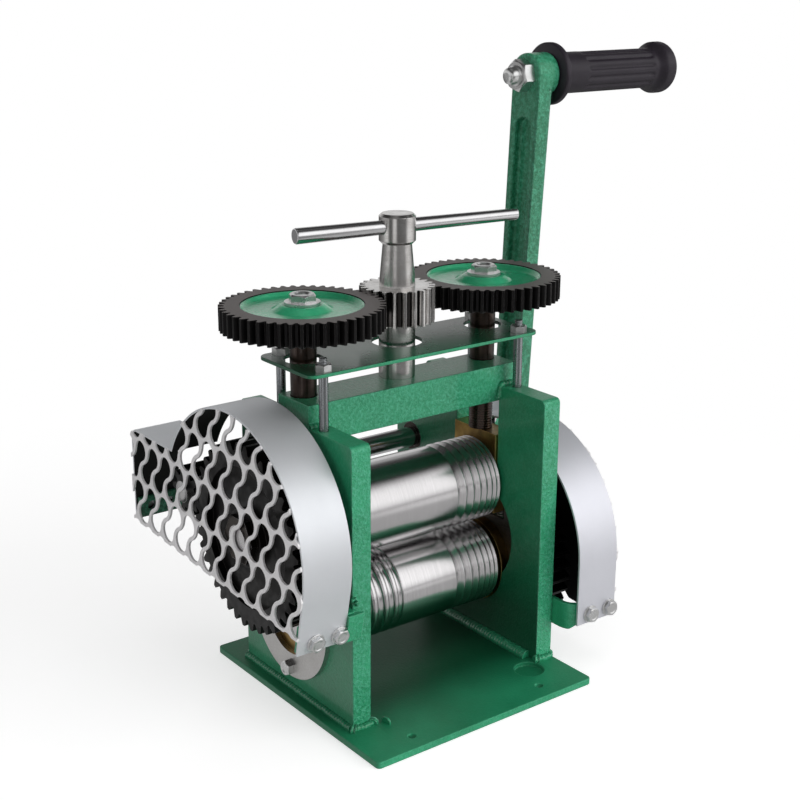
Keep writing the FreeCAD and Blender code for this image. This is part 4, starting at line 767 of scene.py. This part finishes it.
def grow(piece, made, key, values):
    # run a tree on a piece with named values and keep the plain mesh
    modifier = piece.modifiers.new("grow", "NODES")
    modifier.node_group = made
    sockets = {item.name: item.identifier for item in made.interface.items_tree
               if item.in_out == "INPUT"}
    for label, value in {"Material": finish[key], **values}.items():
        modifier[sockets[label]] = value
    return bake(piece)


# threads: a ridge wound round a core

def threadTree():
    given, out = geometryTree("wornThread", {"Radius": 0.007, "Ridge": 0.0009, "Pitch": 0.002,
                                             "Length": 0.078, "Steps": 24})
    turns = calc("DIVIDE", given["Length"], given["Pitch"])
    middle = calc("SUBTRACT", given["Radius"], given["Ridge"])
    coil = coiled(given["Steps"], turns, middle, given["Length"])
    upright = shape("SetCurveNormal", {0: coil}, mode="Z_UP")
    ridge = tubeAlong(upright, 4, given["Ridge"])
    core = shape("MeshCylinder", {"Vertices": 32, "Depth": given["Length"],
                                  "Radius": fit(given["Ridge"], 0.25, middle)})
    half = vectorOf(z=times(given["Length"], 0.5))
    raised = shape("Transform", {0: core, "Translation": half})
    both = shape("JoinGeometry", {0: ridge})
    link(raised, both.node.inputs[0])
    return closeTree(given, out, shape("InstanceOnPoints", {0: given["Geometry"], "Instance": both}))


threads = threadTree()


def wornThread(name, spots, key, radius, ridge, pitch, length, steps=24):
    return grow(pointMesh(name, spots), threads, key, {
        "Radius": radius * mm, "Ridge": ridge * mm, "Pitch": pitch * mm, "Length": length * mm,
        "Steps": steps})


screwSet = {
    "foot": 132.1, "gearUnder": 210.2, "wide": 14.0, "ridge": 0.42, "pitch": 1.5, "neckTop": 222.3,
    "neckWide": 12.0, "shortBy": 1.2, "plain": 3.0, "taper": 0.4,
}


def makeScrews(s):
    foot, top, core, neck = s["foot"], s["gearUnder"], s["wide"] / 2 - s["ridge"], s["neckWide"] / 2
    for side, centre in screwAxes.items():
        piece = wornThread(f"{side}ScrewThread", [(*centre, foot)], "screw", s["wide"] / 2, s["ridge"],
                           s["pitch"], top - foot - s["shortBy"])
        body = turnedSolid("neck", [
            (foot, core - 1), (foot + 1, core), (top - s["plain"], core + 0.7),
            (top - s["plain"] + s["taper"], core + 0.9), (top, core + 0.9), (top, neck),
            (s["neckTop"], neck)], centre=centre)
        settle(joinInto(piece, body), "screw", f"{side}_screw_set", f"{side}_screw")


makeScrews(screwSet)
print("screws made")


# studs that hold the thin plate

studSet = {"x": (-61.75, 70.25), "y": (-15.0, 25.0), "foot": 153.5, "top": 200.4, "wide": 5.0,
           "endWide": 4.5, "shoulder": 191.4, "ridge": 0.3, "pitch": 0.8, "runOut": 0.2, "chamfer": 0.3}
studPlaces = [(x, y) for x in studSet["x"] for y in studSet["y"]]


def makeStuds(s):
    half, shoulder, chamfer = s["wide"] / 2, s["shoulder"], s["chamfer"]
    piece = wornThread("studThreads", [(*place, shoulder - s["runOut"]) for place in studPlaces], "stud",
                       s["endWide"] / 2, s["ridge"], s["pitch"], s["top"] - shoulder, 14)
    steps = [(s["foot"], half), (shoulder - chamfer, half), (shoulder, half - chamfer)]
    bars = [turnedSolid("bar", steps, centre=place, count=32) for place in studPlaces]
    settle(joinInto(piece, *bars), "stud", "frame", "plate_studs")


makeStuds(studSet)


# hexagon heads and nuts, set out by points that carry the way they face

headSet = {"bevelFrom": 0.97, "bevelFall": 0.62, "lower": 0.02, "flatTop": 0.95, "dishRim": 0.72,
           "dishFloor": 0.6, "washerRound": 0.3, "threadGap": 0.3, "threadBevel": 0.5, "sharpFrom": 22}


def hexHead(name, across, high, washer=0.0, washerThick=0.0, dish=0.0, tip=None, count=48):
    # a hexagon with a turned chamfer on top, on its washer, with a dished top or a thread's end
    flat, s = across / 2, headSet
    angles = circle(count)
    hexagon = [flat / math.cos((angle + math.pi / 6) % (math.pi / 3) - math.pi / 6) for angle in angles]
    below, above = [], [(flat * s["flatTop"], high)]
    if washer:
        below = [(washer / 2, 0), (washer / 2, washerThick * (1 - s["washerRound"])),
                 (washer / 2 - washerThick * s["washerRound"], washerThick)]
    if tip:
        thread, rise = tip[0] / 2, tip[1]
        above += [(thread + 0.25, high), (thread + 0.05, high - s["threadGap"]),
                  (thread, high - s["threadGap"]), (thread, high + rise - s["threadBevel"]),
                  (thread - s["threadBevel"], high + rise)]
    elif dish:
        above += [(flat * s["dishRim"], high), (flat * s["dishFloor"], high - dish)]
    chamfer = [(r, high - max(0.0, r - flat * s["bevelFrom"]) * s["bevelFall"] - s["lower"] * across)
               for r in hexagon]
    rows = [[step] * count for step in below] + [[(r, washerThick) for r in hexagon], chamfer]
    rows += [[step] * count for step in above]
    head = ringSolid(name, [[(r * math.cos(angle), r * math.sin(angle), z)
                             for angle, (r, z) in zip(angles, row)] for row in rows])
    return smoothed(head, s["sharpFrom"])


def fastenerTree():
    given, out = geometryTree("fastenerSet", {"Seed": 3}, "Fastener")
    facing = shape("InputNamedAttribute", {"Name": "facing"}, data_type="FLOAT_VECTOR")
    turn = put("FunctionNodeAlignRotationToVector", {"Vector": facing}, axis="Z")
    spin = put("FunctionNodeRandomValue", {2: 0.0, 3: 1.05, "Seed": given["Seed"]}, 1, data_type="FLOAT")
    about = put("FunctionNodeEulerToRotation", {0: vectorOf(z=spin)})
    turned = put("FunctionNodeRotateRotation", {0: turn, 1: about}, rotation_space="LOCAL")
    made = shape("ObjectInfo", {"Object": given["Fastener"]}, "Geometry")
    return closeTree(given, out, shape("InstanceOnPoints", {
        0: given["Geometry"], "Instance": made, "Rotation": turned}))


fasteners = fastenerTree()


def setFasteners(name, template, places, body, replaced, seed=3):
    # places are (x, y, z, facing) in millimetres
    points = pointMesh(name, [place[:3] for place in places])
    facing = points.data.attributes.new("facing", "FLOAT_VECTOR", "POINT")
    for k, place in enumerate(places):
        facing.data[k].vector = place[3]
    piece = grow(points, fasteners, "zinc", {"Fastener": template, "Seed": seed})
    settle(piece, "zinc", body, replaced)


flangeSet = {"radius": 31, "left": (-90, 30, 150), "right": (-150, -90, -30)}
lean = math.radians(11.4)
leanFace = (0, -math.cos(lean), -math.sin(lean))
plateFace = {"left": (-69.5, (-1, 0, 0)), "right": (78.0, (1, 0, 0))}
cheekBolts = {"left": [(-34.26, 68.41), (47.5, 84.0)], "right": [(-36.0, 32.5), (47.5, 84.0)]}
footBolts = {
    "left": [(x, -46.4 - 5.5 * math.sin(lean), 57.8 + 5.5 * math.cos(lean), leanFace)
             for x in (-90.5, -75.7)],
    "right": [(x, -63.1, 33.3, (0, -1, 0)) for x in (103.4, 88.6)],
}
rearBolts = {
    "left": [(x, 126.0, 84.0, (0, 1, 0)) for x in (-80.0, -92.0)],
    "right": [(x, 100.0, 84.0, (0, 1, 0)) for x in (86.75, 98.75)],
}
flangeHoles = {side: around(rollerAxis, flangeSet["radius"], flangeSet[side]) for side in sides}


def onPlate(side, spots):
    at, facing = plateFace[side]
    return [(at, y, z, facing) for y, z in spots]


smallBolt = hexHead("smallBolt", 8.0, 3.5, washer=10.2, washerThick=0.9, dish=0.35)
flangeBolt = hexHead("flangeBolt", 8.0, 3.5, dish=0.5)
gearBolt = hexHead("gearBolt", 13.0, 4.0, dish=0.9)
studNut = hexHead("studNut", 8.0, 4.0)
gripNut = hexHead("gripNut", 17.0, 8.0)
crankNut = hexHead("crankNut", 17.0, 8.0, tip=(10.0, 3.0))
axleNut = hexHead("axleNut", 17.0, 5.0)
for side, label, seed in (("left", "Left", 5), ("right", "Right", 6)):
    setFasteners(f"flangeBolts{label}", flangeBolt, onPlate(side, flangeHoles[side]), "frame",
                 f"flange_bolts_{side}", seed)
for side, seed in (("left", 7), ("right", 8)):
    setFasteners(f"{side}CoverBolts", smallBolt, footBolts[side] + onPlate(side, cheekBolts[side])
                 + rearBolts[side], "frame", f"{side}_cover_bolts", seed)
setFasteners("thinPlateNuts", studNut, [(*place, 193.4, (0, 0, 1)) for place in studPlaces], "frame",
             "plate_stud_nuts", 9)
for side, centre in screwAxes.items():
    setFasteners(f"{side}GearBolt", gearBolt, [(*centre, 224.2, (0, 0, 1))], f"{side}_screw_set",
                 f"{side}_gear_bolt", 11)
setFasteners("crankEndNut", crankNut, [(148.9, *crankAxis, (1, 0, 0))], "crank", "crank_nut")
setFasteners("gripBoltNut", gripNut, [(139.4, *gripAxis, (-1, 0, 0))], "crank", "grip_nut", 4)
setFasteners("idlerNut", axleNut, [(98.3, *idlerAxis, (1, 0, 0))], "frame", "idler_axle_nut")
for template in (smallBolt, flangeBolt, gearBolt, studNut, gripNut, crankNut, axleNut):
    bpy.data.objects.remove(template)
print("fasteners set")


# weld beads along the joints of the frame

def beadTree():
    given, out = geometryTree("weldBead", {"Radius": 0.0026, "Ripple": 0.0022, "Ripple Depth": 0.16,
                                           "Lumps": 0.0011, "Seed": 5})
    even = shape("ResampleCurve", {0: given["Geometry"], "Length": 0.0005}, mode="LENGTH")
    passed = shape("SplineParameter", out="Length")
    wave = calc("SINE", calc("DIVIDE", times(passed, 2 * math.pi), given["Ripple"]))
    swell = fit(times(wave, given["Ripple Depth"]), 0.5, 1.0)
    sized = shape("SetCurveRadius", {0: even, "Radius": times(swell, given["Radius"])})
    tube = tubeAlong(sized, 12, 1.0)
    if "Scale" in tube.node.inputs:
        link(shape("InputRadius"), tube.node.inputs["Scale"])
    shake = put("TexNoise", {"Vector": shape("InputPosition"), "W": given["Seed"],
                             "Scale": 260.0, "Detail": 2.0}, noise_dimensions="4D", out=1)
    centred = vector("SUBTRACT", shake, (0.5, 0.5, 0.5))
    push = put("VectorMath", {0: centred, "Scale": given["Lumps"]}, operation="SCALE")
    moved = shape("SetPosition", {0: tube, "Offset": push})
    return closeTree(given, out, smoothShape(moved))


beads = beadTree()
beadSet = {
    # name: radius, ripple depth, the lines it follows
    "footBeads": (2.4, 0.14, [
        [(-66.7, -45, 4.2), (-66.7, 59, 4.2)], [(-54.3, -44, 4.2), (-54.3, 59, 4.2)],
        [(75.4, -45, 4.2), (75.4, 59, 4.2)]]),
    "flatBead": (3.6, 0.08, [[(61.8, -40, 4.6), (61.8, 59, 4.6)]]),
    "frontBeads": (2.1, 0.22, [
        [(-67, -46.0, 4.6), (-60, -47.0, 4.2), (-53.6, -46.2, 4.6)],
        [(62.5, -45.6, 4.6), (69, -46.9, 4.2), (74.6, -46.2, 4.6)],
        [(-66, 59.8, 4.4), (-54, 59.8, 4.4)], [(64, 59.8, 4.4), (74, 59.8, 4.4)]]),
    "cornerBlobs": (2.9, 0.3, [
        [(-67.4, -45.5, 4.4), (-65.6, -47.4, 4.2)], [(-55, -47.2, 4.2), (-53.2, -45.6, 4.4)],
        [(-48.5, -50.4, 4.4), (-46.9, -50.0, 4.4)], [(62.4, -45.6, 4.6), (64.6, -47, 4.4)]]),
    "beamBeads": (1.9, 0.2, [
        [(-66.2, -8.3, 161.9), (-55, -8.3, 161.9), (-54.2, -8.3, 154.5)],
        [(74.4, -8.3, 161.9), (64, -8.3, 161.9), (62.7, -8.3, 154.5)],
        [(-65.5, 21.3, 161.7), (-55, 21.3, 161.7)], [(74, 21.3, 161.7), (64, 21.3, 161.7)]]),
    "tackWeld": (1.0, 0.3, [[(-67.3, -46.2, 79.3), (-64.6, -46.9, 80.1)],
                            [(-65.0, -46.9, 78.2), (-63.8, -46.6, 76.0)]]),
}


def layBeads(settings):
    for name, (radius, depth, lines) in settings.items():
        curve = bpy.data.curves.new(name, "CURVE")
        curve.dimensions = "3D"
        for line in lines:
            spline = curve.splines.new("POLY")
            spline.points.add(len(line) - 1)
            for point, spot in zip(spline.points, line):
                point.co = (*(Vector(spot) * mm), 1)
        piece = grow(addPiece(name, curve), beads, "bead", {
            "Radius": radius * mm, "Ripple Depth": depth, "Seed": len(name)})
        settle(piece, "bead", "frame")


layBeads(beadSet)
print("weld beads laid")


# pierced cover panels: rows of two-lobed holes cut through a sheet

panelSet = {
    "pitch": 14.7, "slope": 0.82, "row": 25.3, "shift": 4.6, "lobe": 11.9, "stepFront": 5.0,
    "stepUp": 6.35, "waist": 8.1, "thick": 1.2, "anchor": (44.8, 112.1), "columns": 19, "rows": 9,
    "bend": 6.0, "ragged": 2.4, "arcSteps": 180, "bendSteps": 8, "lobeSteps": 16, "waistSteps": 6,
    "left": {"at": -102.19, "corners": [(-48.28, 67.11), (-52.47, 87.91)], "arc": (15.9, 101.7, 69.75),
             "boxTop": 133.0, "rear": 126.0, "floor": 76.5, "hub": (300.0, 300.0, 2.0)},
    "right": {"at": 108.0, "corners": [(-63.1, 37.5), (-63.1, 65.25)], "arc": (6.9, 65.25, 70.0),
              "boxTop": 131.7, "rear": 100.0, "floor": 70.0, "hub": (*crankAxis, 16.0)},
}


def panelOutline(settings, side):
    centreY, centreZ, radius = side["arc"]
    bend, steps = settings["bend"], settings["arcSteps"]
    points = list(side["corners"])
    start = math.atan2(points[-1][1] - centreZ, points[-1][0] - centreY) % (2 * math.pi)
    stop = math.asin((side["boxTop"] - centreZ) / radius)
    for k in range(1, steps + 1):
        angle = start + (stop - start) * k / steps
        ragged = 0.55 * math.sin(k * 0.83) * math.sin(k * 0.311 + 1) * abs(math.sin(k * 0.19 + 2))
        reach = radius + settings["ragged"] * (ragged - 0.25)
        points.append((centreY + reach * math.cos(angle), centreZ + reach * math.sin(angle)))
    for k in range(settings["bendSteps"] + 1):
        angle = math.pi / 2 * (1 - k / settings["bendSteps"])
        points.append((side["rear"] - bend + bend * math.cos(angle),
                       side["boxTop"] - bend + bend * math.sin(angle)))
    return points + [(side["rear"], side["floor"])]


def peanutPoints(settings):
    # half of the hole's outline turned about its centre gives the rest
    lobe, waist = settings["lobe"] / 2, settings["waist"] / 2
    step = Vector((-settings["stepFront"], settings["stepUp"]))
    far = step.length
    hollow = (far ** 2 + waist ** 2 - lobe ** 2) / (2 * (lobe - waist))
    ahead = step.normalized()
    aside = Vector((-ahead.y, ahead.x))
    seam = math.atan2(waist + hollow, far)
    half = []
    for k in range(settings["lobeSteps"] + 1):
        angle = (math.pi - seam) * (2 * k / settings["lobeSteps"] - 1)
        half.append(ahead * (far + lobe * math.cos(angle)) + aside * (lobe * math.sin(angle)))
    for k in range(1, settings["waistSteps"]):
        angle = seam + (math.pi - 2 * seam) * k / settings["waistSteps"]
        out = waist + hollow - hollow * math.sin(angle)
        half.append(ahead * (hollow * math.cos(angle)) + aside * out)
    return half + [-point for point in half]


def panelTree():
    # a lattice of holes is taken out of the blank, and the sheet is then stood upright
    given, out = geometryTree("piercedPanel", {
        "Columns": 19, "Rows": 9, "Pitch": 0.0147, "Slope": 0.0008, "Row": 0.0253, "Shift": 0.0046,
        "Anchor": (0, 0, 0), "Stand At": 0.0}, "Hole", "Hub Hole")
    columns, rows = given["Columns"], given["Rows"]
    dots = shape("MeshLine", {"Count": times(columns, rows)})
    index = shape("InputIndex")
    row = calc("FLOOR", calc("DIVIDE", calc("ADD", index, 0.5), columns))
    column = calc("SUBTRACT", index, times(row, columns))
    row, column = (calc("SUBTRACT", place, calc("FLOOR", times(whole, 0.5)))
                   for place, whole in ((row, rows), (column, columns)))
    across = calc("SUBTRACT", times(row, given["Shift"]), times(column, given["Pitch"]))
    down = calc("ADD", times(row, given["Row"]), times(column, given["Slope"]))
    spot = vector("ADD", given["Anchor"], vectorOf(across, times(down, -1.0)))
    placed = shape("SetPosition", {0: dots, "Position": spot})
    hole, hub = (shape("ObjectInfo", {"Object": given[label]}, "Geometry")
                 for label in ("Hole", "Hub Hole"))
    held = shape("InstanceOnPoints", {0: placed, "Instance": hole})
    sheet = given["Geometry"]
    for cutter in (shape("RealizeInstances", {0: held}), hub):
        sheet = shape("MeshBoolean", {0: sheet, 1: cutter}, operation="DIFFERENCE", solver="EXACT")
    turn = Matrix(((0, 0, 1), (1, 0, 0), (0, 1, 0))).to_euler()
    upright = shape("Transform", {0: sheet, "Rotation": turn})
    return closeTree(given, out, shape("Transform", {
        0: upright, "Translation": vectorOf(given["Stand At"])}))


def pierceCovers(settings):
    lattice, thick = panelTree(), settings["thick"]
    hole = prism("panelHole", peanutPoints(settings), -1, thick + 1)
    for name in sides:
        side = settings[name]
        y, z, radius = side["hub"]
        ring = [(y + radius * math.cos(angle), z + radius * math.sin(angle)) for angle in circle(48)]
        hubHole = prism("hubHole", ring, -1, thick + 1)
        blank = prism(f"{name}CoverPanel", panelOutline(settings, side), 0, thick)
        sizes = {label: settings[label.lower()] * mm for label in ("Pitch", "Slope", "Row", "Shift")}
        piece = grow(blank, lattice, "panel", {
            "Hole": hole, "Hub Hole": hubHole, "Columns": settings["columns"], "Rows": settings["rows"],
            **sizes, "Anchor": Vector((*settings["anchor"], 0)) * mm, "Stand At": side["at"] * mm})
        piece.data.shade_flat()
        print(name, "panel faces", len(piece.data.polygons))
        settle(piece, "panel", "frame", f"{name}_cover_mesh")
        bpy.data.objects.remove(hubHole)
    bpy.data.objects.remove(hole)


pierceCovers(panelSet)
print("panels pierced")


# grip with moulded flutes

gripSet = {
    "from": 156.55, "to": 257.45, "axis": gripAxis, "flange": 18.7, "flangeThick": 3.7, "startGap": 0.02,
    "lip": 0.8, "hollowLong": 4, "body": 12.5, "flutes": 13, "fluteDeep": 1.05, "fluteFrom": 181.0,
    "fluteTo": 240.0, "knob": 16.2, "flareFrom": 242.0, "flareTo": 248.5, "knobEdge": 4.5, "around": 168,
    "edgeRows": 10, "flangeRows": (0, 0.3, 0.8, 2.2, 3.4, 3.7),
    # first place, gap and count of the rows along the body
    "rows": [(168.0, 6, 3), (181.0, 0.5, 5), (187.0, 6, 9), (238.0, 0.5, 5), (241.0, 1, 2),
             (242.65, 0.65, 9), (250.0, 1.5, 2), (252.9, 0, 1)],
    # the end is hollowed for the bolt's head: depth, radius
    "hollow": [(0.0, 8.6), (0.4, 8.3), (0.5, 8.3)],
}


def gripRadius(s, x, angle):
    flangeEnd, body = s["from"] + s["flangeThick"], s["body"]
    if x <= flangeEnd:
        return s["flange"] - s["lip"] * max(0.0, 1 - (x - s["from"]) / s["lip"]) ** 2
    if x < flangeEnd + s["hollowLong"]:
        part = (x - flangeEnd) / s["hollowLong"]
        return body + (s["flange"] - body) * 0.32 * (1 - part) ** 3 + 0.4 * (1 - part)
    if x > s["flareFrom"]:
        rise = min(1.0, (x - s["flareFrom"]) / (s["flareTo"] - s["flareFrom"]))
        full = body + (s["knob"] - body) * rise ** 2 * (3 - 2 * rise)
        fall = max(0.0, (x - s["to"] + s["knobEdge"]) / s["knobEdge"])
        return full - s["knobEdge"] * (1 - math.sqrt(max(0.0, 1 - fall ** 2)))
    fade = min(1.0, max(0.0, min(x - s["fluteFrom"], s["fluteTo"] - x) / 2.0))
    wave = 0.5 + 0.5 * math.cos(s["flutes"] * angle)
    return body - s["fluteDeep"] * fade * wave ** 2.2


def mouldGrip(s):
    rows = [(s["from"] + s["flangeThick"] + s["startGap"], 0.5, 9)] + s["rows"]
    stations = [s["from"] + gap for gap in s["flangeRows"]]
    stations += [first + gap * k for first, gap, count in rows for k in range(count)]
    stations += [s["to"] - s["knobEdge"] + s["knobEdge"] * math.sin(math.pi / 2 * k / s["edgeRows"])
                 for k in range(s["edgeRows"] + 1)]
    angles = circle(s["around"])
    rings = [(x, [gripRadius(s, x, angle) for angle in angles]) for x in stations]
    rings += [(s["to"] - deep, [radius] * len(angles)) for deep, radius in s["hollow"]]
    y, z = s["axis"]
    piece = ringSolid("mouldedGrip", [[(x, y + r * math.cos(angle), z + r * math.sin(angle))
                                       for r, angle in zip(radii, angles)] for x, radii in rings])
    settle(smoothed(piece, 50), "rubber", "grip", "crank_grip")


mouldGrip(gripSet)
print("grip moulded")


# lifting springs under the bearing blocks

springSet = {"left": -63.5, "right": 72.0, "y": (-3.0, 24.0), "foot": 78.25, "top": 88.1, "wide": 5.6,
             "wire": 0.8, "turns": 6.0}


def springTree():
    given, out = geometryTree("coilSpring", {"Radius": 0.0024, "Wire": 0.0004, "Height": 0.009,
                                             "Turns": 6.0})
    coil = coiled(20, given["Turns"], given["Radius"], given["Height"])
    tube = smoothShape(tubeAlong(coil, 10, given["Wire"]))
    return closeTree(given, out, shape("InstanceOnPoints", {0: given["Geometry"], "Instance": tube}))


def windSprings(settings):
    coils, wire = springTree(), settings["wire"]
    for side in sides:
        spots = [(settings[side], y, settings["foot"] + wire / 2) for y in settings["y"]]
        piece = grow(pointMesh(f"{side}LiftSprings", spots), coils, "spring", {
            "Radius": (settings["wide"] / 2 - wire / 2) * mm, "Wire": wire / 2 * mm,
            "Height": (settings["top"] - settings["foot"] - wire) * mm, "Turns": settings["turns"]})
        settle(piece, "spring", "frame", f"block_springs_{side}")
        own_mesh(piece)


windSprings(springSet)
print("springs wound")


# dished webs of the screw gears, shallow and glossy, as (height, radius) steps

webSteps = [(218.15, 32.35), (221.7, 32.35), (222.1, 32.1), (221.9, 31.7), (220.7, 31.1), (220.0, 30.2),
            (219.7, 28.6), (219.6, 17.0), (219.7, 15.9), (220.2, 15.1), (222.2, 12.0), (222.6, 11.0)]
for side, centre in screwAxes.items():
    web = turnedSolid(f"{side}GearWeb", webSteps, centre=centre, count=96)
    settle(smoothed(web, 40), "web", f"{side}_screw_set")


# the front bracket's end on the left plate, a black sheet of painted shade inside the right cover, and
# the grip bolt's end

tabSet = {"low": 57.5, "high": 73.2, "thick": 1.9, "front": -47.9, "from": -71.9, "to": -62.2}


def frontTab(s):
    front, back = s["front"], s["front"] + s["thick"]
    over = (s["high"] - s["low"]) * math.tan(lean)
    outline = [(front, s["low"]), (front - over, s["high"]), (back - over, s["high"]), (back, s["low"])]
    settle(prism("leftBracketTab", outline, s["from"], s["to"], "x"), "bracket", "frame")


coverShadeSheetSet = {"front": -61.6, "foot": 27.0, "inside": 1.5, "topGap": 0.6, "turn": 0.55, "steps": 40,
             "back": 62.0, "under": [(8.0, 52.5), (-10.0, 40.0), (-26.0, 24.0), (-46.0, 22.5)],
             "from": 107.4, "to": 107.9}


# painted shade: a black sheet inside the right cover, so that its holes show dark
def shadeRightCover(s, side):
    centreY, centreZ, radius = side["arc"]
    radius -= s["inside"]
    points = [(s["front"], s["foot"]), (s["front"], centreZ)]
    for k in range(1, s["steps"] + 1):
        angle = math.pi - s["turn"] * math.pi * k / s["steps"]
        points.append((centreY + radius * math.cos(angle),
                       min(centreZ + radius * math.sin(angle), side["boxTop"] - s["topGap"])))
    points += [(points[-1][0], s["back"]), *s["under"]]
    settle(prism("rightCoverLining", points, s["from"], s["to"], "x"), "coverShadeSheet", "frame")


boltEndSteps = [(131.35, 6.3), (130.6, 6.25), (130.0, 5.3), (127.2, 5.15), (125.6, 4.7), (124.7, 3.6),
                (124.42, 2.2)]
frontTab(tabSet)
shadeRightCover(coverShadeSheetSet, panelSet["right"])
boltEnd = turnedSolid("gripBoltEnd", boltEndSteps, "x", gripAxis, 40)
settle(smoothed(boltEnd, 38), "zinc", "crank")


# nodes eased and finished

def plainCopy(nodeName):
    # the node's shape with its loose triangles joined into whole faces
    work = bmesh.new()
    work.from_mesh(nodes[nodeName].data)
    bmesh.ops.remove_doubles(work, verts=work.verts, dist=0.000008)
    bmesh.ops.dissolve_limit(work, angle_limit=math.radians(0.6), verts=work.verts, edges=work.edges)
    mesh = bpy.data.meshes.new(nodeName)
    work.verts.index_update()
    mesh.from_pydata([v.co.copy() for v in work.verts], [],
                     [[v.index for v in face.verts] for face in work.faces])
    work.free()
    return mesh


def plug(mesh, spots, reach=3.2):
    # close the bores that run along X at these places, filled level with paint
    work = bmesh.new()
    work.from_mesh(mesh)
    for y, z in spots:
        inside = [face for face in work.faces if all(
            math.hypot(v.co.y - y * mm, v.co.z - z * mm) < reach * mm for v in face.verts)]
        bmesh.ops.delete(work, geom=inside, context="FACES")
    bmesh.ops.holes_fill(work, edges=[edge for edge in work.edges if edge.is_boundary], sides=0)
    bmesh.ops.recalc_face_normals(work, faces=work.faces)
    work.to_mesh(mesh)
    work.free()


footSet = {"below": 0.025, "beyond": 0.077, "raise": 0.0037, "over": 0.004}
armRecess = {"hub": crankAxis, "grip": gripAxis, "end": 193.0, "half": 7.3, "drop": 8.5,
             "floor": 143.4, "deeper": 1.5, "near": 0.05}


def trimFoot(mesh, s):
    # the strip's lower edge climbs to the band's foot
    for v in mesh.vertices:
        if v.co.z < s["below"] and v.co.x > s["beyond"]:
            v.co.z += s["raise"] * min(1.0, (v.co.x - s["beyond"]) / s["over"])


def lowerRecess(mesh, s):
    # the long recess in the arm ends a little lower and is cut a little deeper
    hub, grip = (Vector(s[key]) * mm for key in ("hub", "grip"))
    way = (grip - hub).normalized()
    end = hub + way * s["end"] * mm
    for v in mesh.vertices:
        if (Vector((v.co.y, v.co.z)) - end).length < s["half"] * mm:
            v.co.y -= way.x * s["drop"] * mm
            v.co.z -= way.y * s["drop"] * mm
        if abs(v.co.x - s["floor"] * mm) < s["near"] * mm:
            v.co.x += s["deeper"] * mm


def worked(nodeName, key, edge, steps=2, angle=33):
    # the node with its sharp edges eased, standing in the node's place
    piece = addPiece(nodeName + "_eased", plainCopy(nodeName))
    plug(piece.data, plugSpots.get(nodeName, []))
    if nodeName == "right_cover_bracket":
        trimFoot(piece.data, footSet)
    if nodeName == "crank_arm":
        lowerRecess(piece.data, armRecess)
    ease = piece.modifiers.new("ease", "BEVEL")
    ease.width, ease.segments = edge, steps
    ease.limit_method, ease.angle_limit = "ANGLE", math.radians(angle)
    ease.harden_normals, ease.use_clamp_overlap = True, False
    ease.miter_outer = "MITER_ARC"
    piece.data.shade_smooth()
    bake(piece)
    settle(piece, key, bodyOf[nodeName], nodeName)


plugSpots = {f"{side}_side_plate": flangeHoles[side] + cheekBolts[side] for side in sides}
eased = [
    ("base_plate", "base", 0.0005), ("left_side_plate", "plate", 0.0005),
    ("right_side_plate", "plate", 0.0005), ("crossbeam", "beam", 0.0006),
    ("top_plate", "topPlate", 0.0004), ("crank_arm", "casting", 0.0016),
    ("left_cover_bracket", "bracket", 0.0005), ("right_cover_bracket", "bracket", 0.0005),
    ("left_cover_rear_bracket", "rearBracket", 0.0005), ("right_cover_rear_bracket", "bracket", 0.0005),
    ("adjuster_bar", "bar", 0.0009),
    ("left_gear_washer", "zinc", 0.0003), ("right_gear_washer", "zinc", 0.0003),
]
for name, key, edge in eased:
    worked(name, key, edge, 3 if key == "casting" else 2)
print("edges eased")

# nodes whose shape is right take only their finish
kept = {
    "roller": ("lower_roller", "upper_roller"), "zinc": ("grip_bolt",),
    "shaft": ("crank_shaft", "idler_axle"), "flange": ("lower_flange_left", "lower_flange_right"),
    "adjuster": ("adjuster_shaft",), "brass": ("upper_block_left", "upper_block_right"),
    "leftBand": ("left_cover_band",), "rightBand": ("right_cover_band",),
    "bush": ("upper_bush_left", "upper_bush_right", "lower_bush_left", "lower_bush_right"),
    "collar": ("crank_bush_left", "crank_bush_right", "upper_gear_nut", "lower_gear_nut"),
    "leftTopGear": ("left_screw_gear",), "rightTopGear": ("right_screw_gear",),
    "upperGear": ("upper_roller_gear",), "lowerGear": ("lower_roller_gear",),
    "crankPinion": ("left_crank_pinion", "right_crank_pinion"), "idler": ("idler_gear",),
}
keptNames = {name for names in kept.values() for name in names}
for key, names in kept.items():
    for name in names:
        nodes[name].data.materials.clear()
        nodes[name].data.materials.append(finish[key])
left = sorted(name for name, node in nodes.items() if name not in keptNames and not node.hide_render)
print("nodes without a finish:", left)
bpy.context.view_layer.update()
